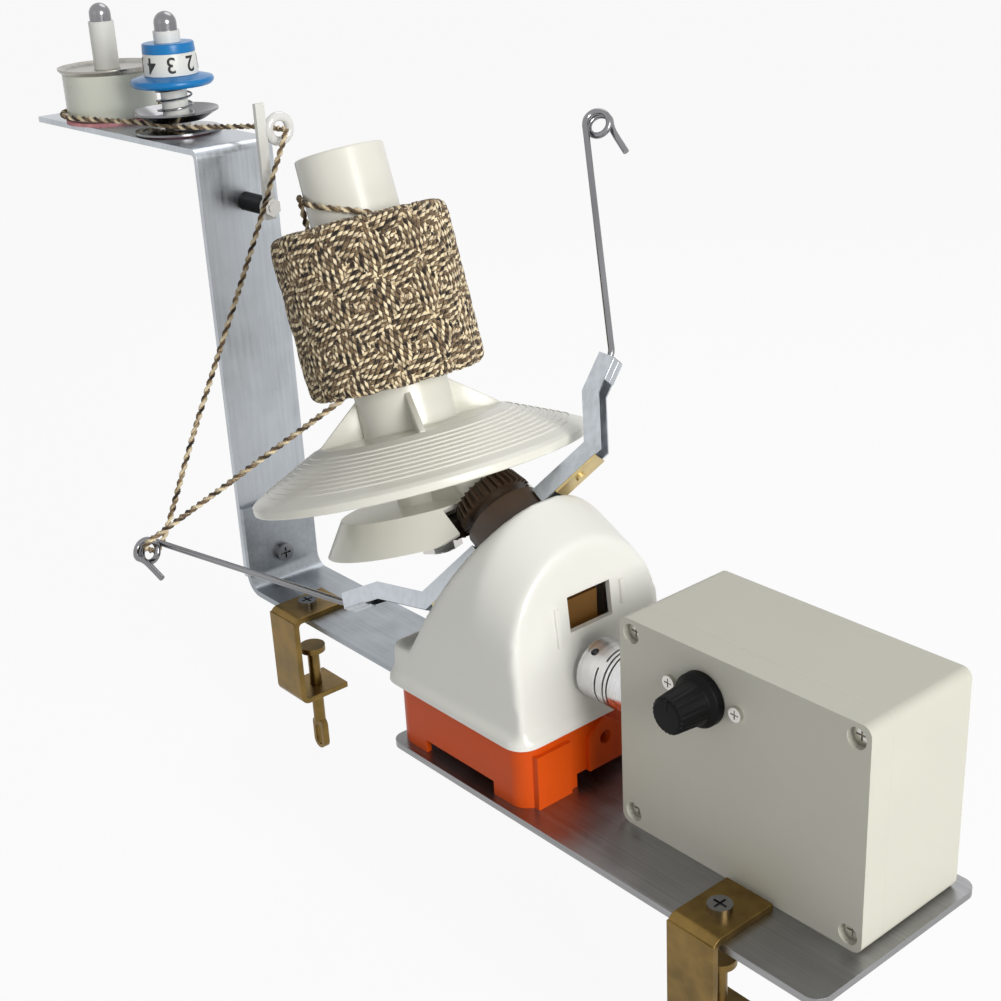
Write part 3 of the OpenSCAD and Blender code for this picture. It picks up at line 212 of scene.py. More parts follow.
floor_paint, tree, shader = new_material("pale_floor")
shader.inputs["Base Color"].default_value = FLOOR_TINT
shader.inputs["Roughness"].default_value = FLOOR_ROUGHNESS
glow = add_node(tree, "ShaderNodeEmission", {"Strength": 1.0})
share = worked(tree, "MULTIPLY", sees_backdrop(tree), FLOOR_GLOW)
lift = add_node(tree, "ShaderNodeMixShader", {0: share, 1: shader.outputs[0], 2: glow[0]})
tree.links.new(lift[0], tree.nodes["Material Output"].inputs["Surface"])

sheet = bmesh.new()
bmesh.ops.create_grid(sheet, x_segments=1, y_segments=1, size=FLOOR_SIZE)
bmesh.ops.translate(sheet, verts=sheet.verts, vec=(0, 0, floor_z))
floor_mesh = mesh_from(sheet, "floor")
floor_mesh.materials.append(floor_paint)
floor = new_object("floor", floor_mesh)
print("floor at z", round(floor_z, 4))

# %% [markdown]
# ## Shared surface effects
# Plastic, steel and felt all need the same few effects: a fine grain that breaks up the highlight,
# larger marks left by handling, and on metal the streaks of a brush. Each could be rebuilt in every
# material, but a shader node group is made once and takes its own values in each place.

# %% Node groups
GRAIN_DETAIL = 2.0
MARK_DETAIL = 6.0
STREAK_DETAIL = 3.0


def start_group(name, inputs, outputs):
    group = bpy.data.node_groups.new(name, "ShaderNodeTree")
    for label, value in inputs.items():
        socket = group.interface.new_socket(label, in_out="INPUT", socket_type="NodeSocketFloat")
        socket.default_value = value
    for label in outputs:
        group.interface.new_socket(label, in_out="OUTPUT", socket_type="NodeSocketFloat")
    place = add_node(group, "ShaderNodeTexCoord", {})["Object"]
    return group, place, add_node(group, "NodeGroupInput", {})


def noise_at(tree, vector, scale, detail):
    return add_node(tree, "ShaderNodeTexNoise",
                    {"Vector": vector, "Scale": scale, "Detail": detail})["Fac"]


surface_grain, place, given = start_group(
    "surface_grain", {"Grain scale": 1500.0, "Mark scale": 25.0}, ["Grain", "Marks"])
add_node(surface_grain, "NodeGroupOutput", {
    "Grain": noise_at(surface_grain, place, given["Grain scale"], GRAIN_DETAIL),
    "Marks": noise_at(surface_grain, place, given["Mark scale"], MARK_DETAIL)})

brushed_streaks, place, given = start_group(
    "brushed_streaks", {"Along X": 20.0, "Along Y": 900.0, "Along Z": 900.0}, ["Streaks"])
pull = add_node(brushed_streaks, "ShaderNodeCombineXYZ",
                {axis: given["Along " + axis] for axis in "XYZ"})[0]
stretched = add_node(brushed_streaks, "ShaderNodeVectorMath", {0: place, 1: pull},
                     operation="MULTIPLY")[0]
add_node(brushed_streaks, "NodeGroupOutput",
         {"Streaks": noise_at(brushed_streaks, stretched, 1.0, STREAK_DETAIL)})
print("groups", surface_grain.name, brushed_streaks.name)

# %% [markdown]
# ## Finishes
# Each finish is a Principled shader. Its colour and roughness wander a little with the marks, and the
# grain feeds a Bump node. Values that are the same all over, such as metallic or coat, are set on the
# shader's own sockets. Colours are written as they look on a screen and turned to linear light.

# %% Finish maker
NOISE_LOW = 0.3
NOISE_HIGH = 0.7
COAT_ROUGHNESS = 0.12
LIGHT_REACH = (0.004, 0.004, 0.004)
STREAK_SHARE = 0.6
MARKS_LOW = 0.05
MARKS_HIGH = 0.35
FINISH_BUMP = 0.5


def linear(colour):
    return [c / 12.92 if c <= 0.04045 else ((c + 0.055) / 1.055) ** 2.4 for c in colour] + [1.0]


def vary(tree, value, low, high):
    return spread(tree, value, NOISE_LOW, NOISE_HIGH, low, high)


def mixed_colour(tree, factor, first, second, blend="MIX"):
    return add_node(tree, "ShaderNodeMix", {"Factor": factor, "A": first, "B": second},
                    data_type="RGBA", blend_type=blend)["Result"]


def make_finish(name, colour, rough, metal=0.0, coat=0.0, shade=0.04, wander=0.06, grain=1500.0,
                depth=0.00002, marks=25.0, streaks=None, see_through=0.0, shine=0.5):
    finish, tree, shader = new_material(name)
    even = {"Metallic": metal, "Specular IOR Level": shine, "Coat Weight": coat,
            "Coat Roughness": COAT_ROUGHNESS, "Subsurface Weight": see_through,
            "Subsurface Radius": LIGHT_REACH}
    for label, value in even.items():
        shader.inputs[label].default_value = value
    effect = add_node(tree, "ShaderNodeGroup", {"Grain scale": grain, "Mark scale": marks},
                      node_tree=surface_grain)
    height, mask = effect["Grain"], effect["Marks"]
    if streaks:
        pulls = {"Along " + axis: value for axis, value in zip("XYZ", streaks)}
        height = add_node(tree, "ShaderNodeGroup", pulls, node_tree=brushed_streaks)["Streaks"]
        mask = worked(tree, "MULTIPLY_ADD", height, STREAK_SHARE,
                      vary(tree, mask, MARKS_LOW, MARKS_HIGH))
    darker = linear([c * (1.0 - shade) for c in colour])
    paler = linear([min(1.0, c * (1.0 + shade)) for c in colour])
    tint = mixed_colour(tree, vary(tree, mask, 0.0, 1.0), darker, paler)
    roughness = vary(tree, mask, rough - wander, rough + wander)
    bump = add_node(tree, "ShaderNodeBump",
                    {"Strength": FINISH_BUMP, "Distance": depth, "Height": height})
    tree.links.new(tint, shader.inputs["Base Color"])
    tree.links.new(roughness, shader.inputs["Roughness"])
    tree.links.new(bump["Normal"], shader.inputs["Normal"])
    return finish


LOOKS = {
    "zinc_strip": dict(colour=(0.72, 0.74, 0.76), rough=0.36, metal=1.0, shade=0.07, wander=0.1,
                       marks=60.0, depth=0.00004, streaks=(500.0, 500.0, 30.0)),
    # The foot's zinc is the strip zinc made darker: painted shade that dims the foot's reflection.
    "foot_zinc_shaded": dict(colour=(0.60, 0.62, 0.64), rough=0.38, metal=1.0, shade=0.08, wander=0.1,
                      marks=60.0, depth=0.00004, streaks=(30.0, 500.0, 500.0)),
    "plate_steel": dict(colour=(0.58, 0.58, 0.585), rough=0.34, metal=1.0, shade=0.06,
                        wander=0.08, streaks=(12.0, 900.0, 900.0)),
    "bright_steel": dict(colour=(0.80, 0.79, 0.77), rough=0.2, metal=1.0),
    "dark_steel": dict(colour=(0.52, 0.52, 0.53), rough=0.19, metal=1.0, shade=0.06, wander=0.05),
    "yellow_zinc": dict(colour=(0.48, 0.39, 0.22), rough=0.36, metal=1.0, shade=0.14,
                        wander=0.08, marks=90.0),
    "pale_brass": dict(colour=(0.80, 0.72, 0.52), rough=0.34, metal=1.0, shade=0.08,
                       wander=0.08, marks=90.0),
    "ivory_plastic": dict(colour=(0.90, 0.897, 0.855), rough=0.32, coat=0.25, shade=0.006,
                          wander=0.03, depth=0.00001, see_through=0.08),
    "hood_white": dict(colour=(0.925, 0.925, 0.90), rough=0.34, coat=0.2, shade=0.005,
                       wander=0.03, depth=0.00001, see_through=0.08),
    "orange_plastic": dict(colour=(0.84, 0.31, 0.03), rough=0.42, shade=0.02, depth=0.00001,
                           shine=0.22),
    "grey_plastic": dict(colour=(0.785, 0.78, 0.73), rough=0.5, shade=0.01, wander=0.03,
                         grain=2600.0, depth=0.00003),
    "black_plastic": dict(colour=(0.03, 0.03, 0.034), rough=0.5, shade=0.2, grain=2000.0, shine=0.12),
    "brown_plastic": dict(colour=(0.25, 0.185, 0.13), rough=0.4, shade=0.1, coat=0.1),
    "amber_gear": dict(colour=(0.68, 0.50, 0.20), rough=0.38, shade=0.1, coat=0.1),
    "coupling_aluminium": dict(colour=(0.85, 0.85, 0.86), rough=0.28, metal=1.0,
                               streaks=(1500.0, 40.0, 40.0)),
    "cast_frame": dict(colour=(0.48, 0.33, 0.13), rough=0.5, metal=0.6, grain=700.0, depth=0.0001),
    "bronze": dict(colour=(0.70, 0.50, 0.30), rough=0.4, metal=1.0, depth=0.00005),
    "white_plastic": dict(colour=(0.92, 0.92, 0.90), rough=0.35, coat=0.1, shade=0.012,
                          see_through=0.1),
    "clear_white_plastic": dict(colour=(0.86, 0.87, 0.82), rough=0.3, coat=0.15, shade=0.015,
                                see_through=0.3),
    "flange_metal": dict(colour=(0.62, 0.61, 0.58), rough=0.3, metal=1.0, shade=0.08, marks=120.0),
    "ceramic": dict(colour=(0.93, 0.93, 0.92), rough=0.15, coat=0.5, shade=0.01, depth=0.000005),
    "blue_plastic": dict(colour=(0.02, 0.48, 0.75), rough=0.3, coat=0.1, shade=0.03, shine=0.35),
    "felt": dict(colour=(0.86, 0.60, 0.62), rough=0.95, shade=0.1, grain=900.0, depth=0.0003,
                 marks=200.0),
    "board": dict(colour=(0.10, 0.32, 0.18), rough=0.4, coat=0.3, shade=0.05),
    "motor_steel": dict(colour=(0.70, 0.70, 0.70), rough=0.3, metal=1.0, streaks=(900.0, 40.0, 40.0)),
    # Dark brown for the core inside the ball: painted shade in the gaps between the wound strands.
    "yarn_gap_shade": dict(colour=(0.14, 0.095, 0.06), rough=0.95, shade=0.2, grain=900.0,
                      depth=0.0003, marks=300.0),
    "digit_ink": dict(colour=(0.05, 0.05, 0.06), rough=0.5, shade=0.1),
}
finishes = {name: make_finish(name, **look) for name, look in LOOKS.items()}
print("finishes", len(finishes))

# %% [markdown]
# ## The yarn's finish
# The yarn is a brown and a cream ply twisted together, and each ply changes colour as it goes along.
# Every strand carries how far along the yarn a point lies and which ply it is on, as attributes.
# Noise in one dimension along the yarn picks the colour, so the pattern follows the strand wherever
# it bends. On the ball the strand is thin and very long, so its twist is not in the mesh: two more
# attributes hold the sine and cosine of the way round the strand, and turn with the distance into a
# spiral groove. The groove is a bump, and it also darkens the colour along it: painted shade in the
# groove between the plies.

# %% Yarn finish
YARN_DARK = (0.13, 0.085, 0.05)
YARN_MID = (0.55, 0.45, 0.33)
YARN_LIGHT = (1.0, 0.93, 0.78)
DARK_AT = 0.40
MID_AT = 0.6
LIGHT_AT = 0.82
PLIES_APART = 7.3
PLY_PALER = 0.27
PLY_EDGE = 0.2
TONE_DETAIL = 3.0
FLECK_SHARE = 0.75
YARN_EFFECT = {"Grain scale": 2600.0, "Mark scale": 1100.0}
YARN_ROUGHNESS = 0.92
YARN_SHEEN = 0.2
YARN_BUMP = {"Strength": 0.8, "Distance": 0.4 * MM}
WOUND_PITCH = 4.5 * MM
GROOVE_HALF = 0.5
GROOVE_SHADE = 0.12
GROOVE_GRAIN = 0.4


def read_attribute(tree, name):
    return add_node(tree, "ShaderNodeAttribute", {}, attribute_name=name)["Fac"]


def make_yarn(name, wound, change):
    finish, tree, shader = new_material(name)
    shader.inputs["Roughness"].default_value = YARN_ROUGHNESS
    shader.inputs["Sheen Weight"].default_value = YARN_SHEEN
    along = read_attribute(tree, "along")
    if wound:
        twist = worked(tree, "MULTIPLY", along, math.tau / WOUND_PITCH)
        sine, cosine = worked(tree, "SINE", twist), worked(tree, "COSINE", twist)
        half = worked(tree, "MULTIPLY", read_attribute(tree, "round_sin"), cosine)
        side = worked(tree, "MULTIPLY_ADD", read_attribute(tree, "round_cos"), sine, half)
        ply = spread(tree, side, -PLY_EDGE, PLY_EDGE, 0.0, 1.0)
        off_groove = worked(tree, "ABSOLUTE", side)
        groove_depth_and_shade = spread(tree, off_groove, 0.0, GROOVE_HALF, GROOVE_SHADE, 1.0)
    else:
        ply = read_attribute(tree, "ply")
    spot = worked(tree, "MULTIPLY_ADD", ply, PLIES_APART, along)
    tones = add_node(tree, "ShaderNodeTexNoise", {"W": spot, "Scale": change, "Detail": TONE_DETAIL},
                     noise_dimensions="1D")["Fac"]
    ramp = tree.nodes.new("ShaderNodeValToRGB")
    stops = ramp.color_ramp.elements
    stops[0].position, stops[1].position = DARK_AT, LIGHT_AT
    stops[0].color, stops[1].color = linear(YARN_DARK), linear(YARN_LIGHT)
    stops.new(MID_AT).color = linear(YARN_MID)
    tree.links.new(worked(tree, "MULTIPLY_ADD", ply, PLY_PALER, tones), ramp.inputs["Fac"])
    effect = add_node(tree, "ShaderNodeGroup", YARN_EFFECT, node_tree=surface_grain)
    colour = mixed_colour(tree, FLECK_SHARE, ramp.outputs["Color"], effect["Marks"], "OVERLAY")
    height = effect["Grain"]
    if wound:
        # Painted shade: the colour is darkened along the spiral groove between the plies.
        colour = mixed_colour(tree, 1.0, colour, groove_depth_and_shade, "MULTIPLY")
        height = worked(tree, "MULTIPLY_ADD", height, GROOVE_GRAIN, groove_depth_and_shade)
    bump = add_node(tree, "ShaderNodeBump", {**YARN_BUMP, "Height": height})
    tree.links.new(colour, shader.inputs["Base Color"])
    tree.links.new(bump["Normal"], shader.inputs["Normal"])
    return finish


finishes["yarn"] = make_yarn("yarn", False, 90.0)
finishes["yarn_wound"] = make_yarn("yarn_wound", True, 130.0)
OWN_FINISH = {
    "hood": "hood_white", "drive_gear": "amber_gear", "lower_tension_disc": "dark_steel",
    "upper_tension_disc": "dark_steel", "upper_wire": "dark_steel", "lower_wire": "dark_steel",
    "tension_spring": "dark_steel", "dome_nuts": "dark_steel", "plate_screws": "dark_steel",
    # The post's foot gets the darker copy of the strip zinc, as painted shade.
    "post_foot": "foot_zinc_shaded", "arm_plates": "pale_brass",
}
for node, slot in slot_of.items():
    frame["nodes"][node].data.materials.clear()
    frame["nodes"][node].data.materials.append(finishes[OWN_FINISH.get(node, slot)])
print("every node has a finish")

# %% [markdown]
# ## Putting a mesh in the scene
# Every piece made here goes through the same steps: its mesh gets a finish and smooth shading with
# sharp edges kept, it rides on the body that it moves with, and it may stand for a node of the packed
# model. The small helpers after that are the shaping steps that several pieces share.

# %% Piece maker
MERGE = 1e-6


def add_piece(name, mesh, slot, body, stands_for=(), finish=None, sharp=40.0):
    mesh.name = name
    mesh.materials.clear()
    mesh.materials.append(finishes[finish or slot])
    mesh.shade_smooth()
    mesh.set_sharp_from_angle(angle=math.radians(sharp))
    piece = new_object(name, mesh)
    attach(piece, body)
    if stands_for:
        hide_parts(*stands_for)
    return piece


def evaluated(holder):
    bpy.context.view_layer.update()
    shape = holder.evaluated_get(bpy.context.evaluated_depsgraph_get())
    mesh = bpy.data.meshes.new_from_object(shape)
    bpy.data.objects.remove(holder)
    return mesh


def modified(mesh, kind, **settings):
    holder = new_object("work", mesh)
    step = holder.modifiers.new("step", kind)
    for label, value in settings.items():
        setattr(step, label, value)
    return evaluated(holder)


def join_in(whole, part):
    mesh = mesh_from(part)
    whole.from_mesh(mesh)
    bpy.data.meshes.remove(mesh)


def face_outwards(shape):
    bmesh.ops.recalc_face_normals(shape, faces=shape.faces)


def cap_holes(shape):
    bmesh.ops.holes_fill(shape, edges=[e for e in shape.edges if e.is_boundary], sides=0)


def plane_cut(shape, point, way, **clear):
    everything = shape.verts[:] + shape.edges[:] + shape.faces[:]
    bmesh.ops.bisect_plane(shape, geom=everything, plane_co=point, plane_no=way, **clear)


def round_edges(shape, edges, width, segments=3, **more):
    bmesh.ops.bevel(shape, geom=edges, offset=width * MM, affect="EDGES", segments=segments,
                    profile=0.5, material=-1, **more)


def moved(shape, place):
    bmesh.ops.transform(shape, matrix=place, verts=shape.verts)
    return shape


# %% [markdown]
# ## Twisted yarn
# A strand could be a plain tube with a twisted texture, but its outline would stay smooth. Here a
# curve carries a two-lobed outline as its bevel, and the tilt of each point turns that outline once
# per pitch, so the two plies wind round each other in the mesh itself.

# %% Strand maker
YARN_D = 3.0 * MM
PLY_PITCH = 8.0 * MM
ROUTE_STEP = 1.2 * MM
LOBE_SHARE = 0.27
LOBE_SPAN = 210
LOBE_POINTS = 5


def two_plies(diameter):
    lobe = LOBE_SHARE * diameter
    offset = 0.5 * diameter - lobe
    rim = []
    for side in (1, -1):
        for k in range(LOBE_POINTS):
            turn = math.radians(-LOBE_SPAN / 2 + LOBE_SPAN * k / (LOBE_POINTS - 1))
            rim.append((side * (offset + lobe * math.cos(turn)), side * lobe * math.sin(turn)))
    return rim


def round_rim(diameter, sides=12):
    return [(0.5 * diameter * math.cos(math.tau * k / sides),
             0.5 * diameter * math.sin(math.tau * k / sides)) for k in range(sides)]


def smooth_route(points, step):
    stops = [Vector(p) for p in points]
    stops = [2 * stops[0] - stops[1]] + stops + [2 * stops[-1] - stops[-2]]
    route = []
    for a, b, c, d in zip(stops, stops[1:], stops[2:], stops[3:]):
        count = max(1, round((c - b).length / step))
        for k in range(count):
            t = k / count
            route.append(0.5 * (2 * b + t * (c - a) + t * t * (2 * a - 5 * b + 4 * c - d)
                                + t * t * t * (3 * b - a - 3 * c + d)))
    return route + [stops[-2]]


def route_length(route):
    return sum((b - a).length for a, b in zip(route, route[1:]))


def poly_curve(name, points, closed, dimensions):
    curve = bpy.data.curves.new(name, "CURVE")
    curve.dimensions = dimensions
    line = curve.splines.new("POLY")
    line.points.add(len(points) - 1)
    line.use_cyclic_u = closed
    for point, place in zip(line.points, points):
        point.co = (*place, 1.0)
    return curve


def swept(route, rim, pitch=None, closed=False):
    rim_curve = poly_curve("rim", [(x, y, 0.0) for x, y in rim], True, "2D")
    rim_holder = new_object("rim", rim_curve)
    curve = poly_curve("route", route, closed, "3D")
    curve.bevel_mode = "OBJECT"
    curve.bevel_object = rim_holder
    distances = [0.0]
    for before, here in zip(route, route[1:]):
        distances.append(distances[-1] + (here - before).length)
    if pitch:
        for point, distance in zip(curve.splines[0].points, distances):
            point.tilt = math.tau * distance / pitch
    mesh = evaluated(new_object("route", curve))
    bpy.data.objects.remove(rim_holder)
    for used in (curve, rim_curve):
        bpy.data.curves.remove(used)
    sides = len(rim)
    every = range(len(mesh.vertices))
    last_ring = len(every) // sides - 1
    turns = [math.tau * (i % sides) / sides for i in every]
    values = {"along": [distances[min(i // sides, last_ring)] for i in every],
              "ply": [float(i % sides >= sides // 2) for i in every],
              "round_cos": [math.cos(turn) for turn in turns],
              "round_sin": [math.sin(turn) for turn in turns]}
    for name, numbers in values.items():
        mesh.attributes.new(name, "FLOAT", "POINT").data.foreach_set("value", numbers)
    shape = bmesh.new()
    shape.from_mesh(mesh)
    cap_holes(shape)
    face_outwards(shape)
    shape.to_mesh(mesh)
    shape.free()
    return mesh


# %% [markdown]
# ## The yarn's three free stretches
# The yarn comes off the guide wheel, passes between the tension discs and through the eyelet, runs
# down to the wire loop of the lower arm, and goes from there to the ball. Each stretch is a cord of
# its own, because its two ends move with different pieces. The last two are not attached to a body
# and stay where they are drawn. The first ends in a knot behind the wheel.

# %% Free yarn
KNOT_STEPS = 60
KNOT_R = 1.35 * MM
KNOT_YARN_D = 1.5 * MM
KNOT_PITCH = 5 * MM
WHEEL_Z = 236.7
level_stops = [(-324, 5), (-338, 2), (-352, 0), (-364, -3.2), (-376, -7.2), (-388, -11.2),
               (-398, -14.5), (-405, -15.5), (-412, -14.5), (-419, -11.5), (-425, -6), (-429, 2),
               (-431, 10), (-430, 18), (-426, 26), (-420, 32), (-413, 35.5), (-406, 37), (-399, 36),
               (-392, 33)]
routes = {
    "yarn_feed": [
        (-264, 23.3, 239), (-272, 23, 239), (-282, 20, 239), (-296, 15, 238.2), (-310, 10, 237.4),
        *[(x, y, WHEEL_Z) for x, y in level_stops]],
    "yarn_run": [
        (-264, 23.3, 239), (-260, 23.4, 239), (-257.5, 19.5, 234), (-257, 13, 222), (-254, 1, 202),
        (-250, -17, 173), (-246, -36, 143), (-241, -56, 112), (-236, -73, 84), (-234.3, -80, 73),
        (-233.6, -83.6, 68.8), (-232.5, -85.6, 68.2), (-231.6, -87.5, 69.6)],
    "yarn_lay": [
        (-231.6, -87.5, 69.6), (-230.6, -89.7, 71.2), (-229, -92, 73.4), (-226.4, -92.6, 76.8),
        (-220, -88.6, 82.4), (-204, -79, 96), (-189, -70, 108.6), (-174, -60.7, 121.6),
        (-156, -49.8, 136.9), (-138.6, -39.3, 151.8)],
}
strands = {}
for name, route in routes.items():
    path = smooth_route([Vector(p) * MM for p in route], ROUTE_STEP)
    strands[name] = (path, swept(path, two_plies(YARN_D), PLY_PITCH))
    print(name, round(route_length(path), 4), "m")

feed_path, feed_mesh = strands["yarn_feed"]
feed = add_piece("yarn_feed_strand", feed_mesh, "yarn", "frame", ["yarn_feed"])

knot_centre = feed_path[-1] + Vector((1.2, -0.8, 0.0)) * MM
knot_route = []
for k in range(KNOT_STEPS):
    turn = math.tau * k / KNOT_STEPS
    knot_route.append(knot_centre + KNOT_R * Vector((math.sin(turn) + 1.5 * math.sin(2 * turn),
                                                      math.cos(turn) - 1.5 * math.cos(2 * turn),
                                                      -0.9 * math.sin(3 * turn))))
knot_mesh = swept(knot_route, two_plies(KNOT_YARN_D), KNOT_PITCH, True)
knot = add_piece("yarn_knot", knot_mesh, "yarn", "frame")

for name, ends in (("yarn_run", ("frame", "flyer")), ("yarn_lay", ("flyer", "frame"))):
    path, mesh = strands[name]
    mesh.name = name + "_strand"
    mesh.materials.append(finishes["yarn"])
    mesh.shade_smooth()
    strand = new_object(name + "_strand", mesh)
    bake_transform(strand)
    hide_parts(name)
print("free yarn in place")

# %% [markdown]
# ## Turned pieces
# Anything round, from the spool to the knob, starts as half of its section and is spun about its
# axis. A small helper first rounds the section's corners, as a lathe tool or a mould would. Each
# corner is written as its distance from the axis, its height and its radius, in millimetres.

# %% Turning helper
CORNER_STEPS = 5
CORNER_REACH = 0.49


def rounded_section(corners):
    section = []
    count = len(corners)
    for k, (x, y, radius) in enumerate(corners):
        here = Vector((x, y))
        before = Vector(corners[k - 1][:2]) - here
        after = Vector(corners[(k + 1) % count][:2]) - here
        if radius <= 0:
            section.append(here)
            continue
        half = before.angle(after) / 2
        reach = min(radius / math.tan(half), CORNER_REACH * before.length, CORNER_REACH * after.length)
        start = here + reach * before.normalized()
        end = here + reach * after.normalized()
        for i in range(CORNER_STEPS + 1):
            t = i / CORNER_STEPS
            section.append((1 - t) ** 2 * start + 2 * t * (1 - t) * here + t * t * end)
    return section


def turned(corners, place, steps=96):
    shape = bmesh.new()
    verts = [shape.verts.new((x * MM, 0.0, z * MM)) for x, z in rounded_section(corners)]
    loop = [shape.edges.new((a, b)) for a, b in zip(verts, verts[1:] + verts[:1])]
    bmesh.ops.spin(shape, geom=verts + loop, cent=(0, 0, 0), axis=(0, 0, 1), angle=math.tau,
                   steps=steps, use_merge=True)
    bmesh.ops.remove_doubles(shape, verts=shape.verts, dist=MERGE)
    face_outwards(shape)
    return moved(shape, place)


def turn_about(axis, degrees):
    return Matrix.Rotation(math.radians(degrees), 4, axis)


def leaning(x, z, tilt):
    return Matrix.Translation(Vector((x, 0, z)) * MM) @ turn_about("Y", -tilt)


spool_place = leaning(-145, 120.3, 18)
flyer_place = leaning(-88.2, 103, 57.6)
print("spool axis", [round(c, 4) for c in spool_place.col[2][:3]])

# %% [markdown]
# ## The spool
# The spool is one white moulding: a conical skirt with a turned-down rim and fine ridges, four
# gussets, and a long tube with a slight taper. The skirt and tube are one spun section; the ridges
# are part of that section, so they catch the light as real ones do.

# %% Spool
BORE_R = 5.2
HUB_R = 13
HUB_LOW = -11.7
SKIRT_R = 41.0
SKIRT_TOP = 7.0
SKIRT_SLOPE = 15.0 / 32.0
RIM_IN_R = 71
RIM_R = 75
RIM_LOW = -13
TUBE_TOP = 127
RIDGES = 9
RIDGES_FROM = SKIRT_R + 4
RIDGE_PITCH = 2.8
RIDGE_W = 1.2
RIDGE_SLANT = 0.15
GUSSETS = 4
GUSSET_TURN = 62.0
GUSSET_T = 2.5
GUSSET_EDGE = 0.35
GUSSET_OUTLINE = ((19.8, 6.5), (40.4, 6.5), (40.4, 7.4), (20.0, 23.4))


def skirt_at(radius):
    return SKIRT_TOP - SKIRT_SLOPE * (radius - SKIRT_R)


corners = [(BORE_R, HUB_LOW, 0), (HUB_R, HUB_LOW, 0.8), (HUB_R, 4, 1.0), (40, 4, 1.0),
           (RIM_IN_R, skirt_at(RIM_IN_R) - 3, 0.6), (RIM_IN_R, RIM_LOW, 0.6), (RIM_R, RIM_LOW, 0.9),
           (RIM_R, -9.5, 0.8), (73, -8, 1.2)]
for k in reversed(range(RIDGES)):
    inner = RIDGES_FROM + RIDGE_PITCH * k
    outer = inner + RIDGE_W
    corners += [(outer, skirt_at(outer), 0), (outer - RIDGE_SLANT, skirt_at(outer) + 0.55, 0),
                (inner + RIDGE_SLANT, skirt_at(inner) + 0.4, 0), (inner, skirt_at(inner), 0)]
corners += [(SKIRT_R, SKIRT_TOP, 3.0), (21, SKIRT_TOP, 1.5), (19.25, TUBE_TOP, 1.0),
            (16.75, TUBE_TOP, 1.0), (16.9, 120, 0), (BORE_R, 120, 0), (BORE_R, 117, 0),
            (16.95, 117, 0), (18.4, SKIRT_TOP, 0), (BORE_R, SKIRT_TOP, 0)]
spool_shape = turned(corners, Matrix.Identity(4), 128)
for k in range(GUSSETS):
    web = bmesh.new()
    near_face = web.faces.new([web.verts.new((x * MM, -GUSSET_T / 2 * MM, z * MM))
                               for x, z in GUSSET_OUTLINE])
    grown = bmesh.ops.extrude_face_region(web, geom=[near_face])["geom"]
    far_verts = [v for v in grown if isinstance(v, bmesh.types.BMVert)]
    bmesh.ops.translate(web, verts=far_verts, vec=(0, GUSSET_T * MM, 0))
    face_outwards(web)
    round_edges(web, web.edges[:], GUSSET_EDGE, 2)
    join_in(spool_shape, moved(web, turn_about("Z", GUSSET_TURN + 360 / GUSSETS * k)))
spool_mesh = mesh_from(moved(spool_shape, spool_place))
spool = add_piece("spool_moulding", spool_mesh, "ivory_plastic", "spool", ["spool"])
print("spool faces", len(spool.data.polygons))

# %% [markdown]
# ## The ball of yarn
# A winder lays the yarn in long crossing turns, so the ball shows a woven diamond pattern. It could
# be a textured drum, but here one unbroken strand is wound along a formula: it goes up and down 95
# times in 69 turns, over and under the strands that it crosses, round a core that stands for the
# inner layers and closes the gaps. The core's dark colour is painted shade in those gaps.

# %% Ball
BALL_LOW = 26.5
BALL_HIGH = 98.0
BALL_INSET = 1.4
BALL_MID_R = 37.4
BALL_CORNER = 3.2
BALL_FACE_R = 22.8
CYCLES = 95
TURNS = 69
BALL_STEPS = 14400
SWAY_PEAK = 0.985
STRAND_D = 1.8 * MM
CELLS_ROUND = 12
WEAVE_DEPTH = 0.85
WEAVE_EDGE = 3.0
BENDS = ((1.8, 3, 0.07), (1.2, 5, -0.11))
TURN_SOFTNESS = 0.08
SHADE_CORE_R = 21.3
SHADE_CORE_INSET = 0.6
low = BALL_LOW + BALL_INSET
high = BALL_HIGH - BALL_INSET
face_run = BALL_MID_R - BALL_CORNER - BALL_FACE_R
bend_run = BALL_CORNER * math.pi / 2
side_run = high - low - 2 * BALL_CORNER
whole_run = 2 * (face_run + bend_run) + side_run
cell = math.tau * BALL_MID_R / (CELLS_ROUND * math.sqrt(2))


def ball_section(run):
    mirrored = run > whole_run / 2
    part = whole_run - run if mirrored else run
    if part < face_run:
        radius, rise, out_r, out_z = BALL_FACE_R + part, low, 0.0, -1.0
    elif part < face_run + bend_run:
        turn = (part - face_run) / BALL_CORNER
        out_r, out_z = math.sin(turn), -math.cos(turn)
        radius = BALL_MID_R - BALL_CORNER + BALL_CORNER * out_r
        rise = low + BALL_CORNER + BALL_CORNER * out_z
    else:
        radius, rise = BALL_MID_R, low + BALL_CORNER + part - face_run - bend_run
        out_r, out_z = 1.0, 0.0
    if mirrored:
        return radius, low + high - rise, out_r, -out_z
    return radius, rise, out_r, out_z


def spool_point(radius, angle, rise):
    return spool_place @ (Vector((radius * math.cos(angle), radius * math.sin(angle), rise)) * MM)


def wound_point(t):
    cycle = math.tau * CYCLES * t
    theta = math.tau * TURNS * t
    sway = math.asin(SWAY_PEAK * math.sin(cycle)) / math.asin(SWAY_PEAK)
    run = whole_run * (0.5 + 0.5 * sway)
    radius, rise, out_r, out_z = ball_section(run)
    across = BALL_MID_R * theta
    bend = sum(size * math.sin(waves * theta + lean * run) for size, waves, lean in BENDS)
    p = (across + run) / math.sqrt(2) + bend
    q = (across - run) / math.sqrt(2) - bend
    weave = math.tanh(WEAVE_EDGE * math.sin(math.pi * p / cell) * math.sin(math.pi * q / cell))
    rising = math.cos(cycle) / (abs(math.cos(cycle)) + TURN_SOFTNESS)
    lift = WEAVE_DEPTH * rising * weave
    return spool_point(radius + lift * out_r, theta, rise + lift * out_z)


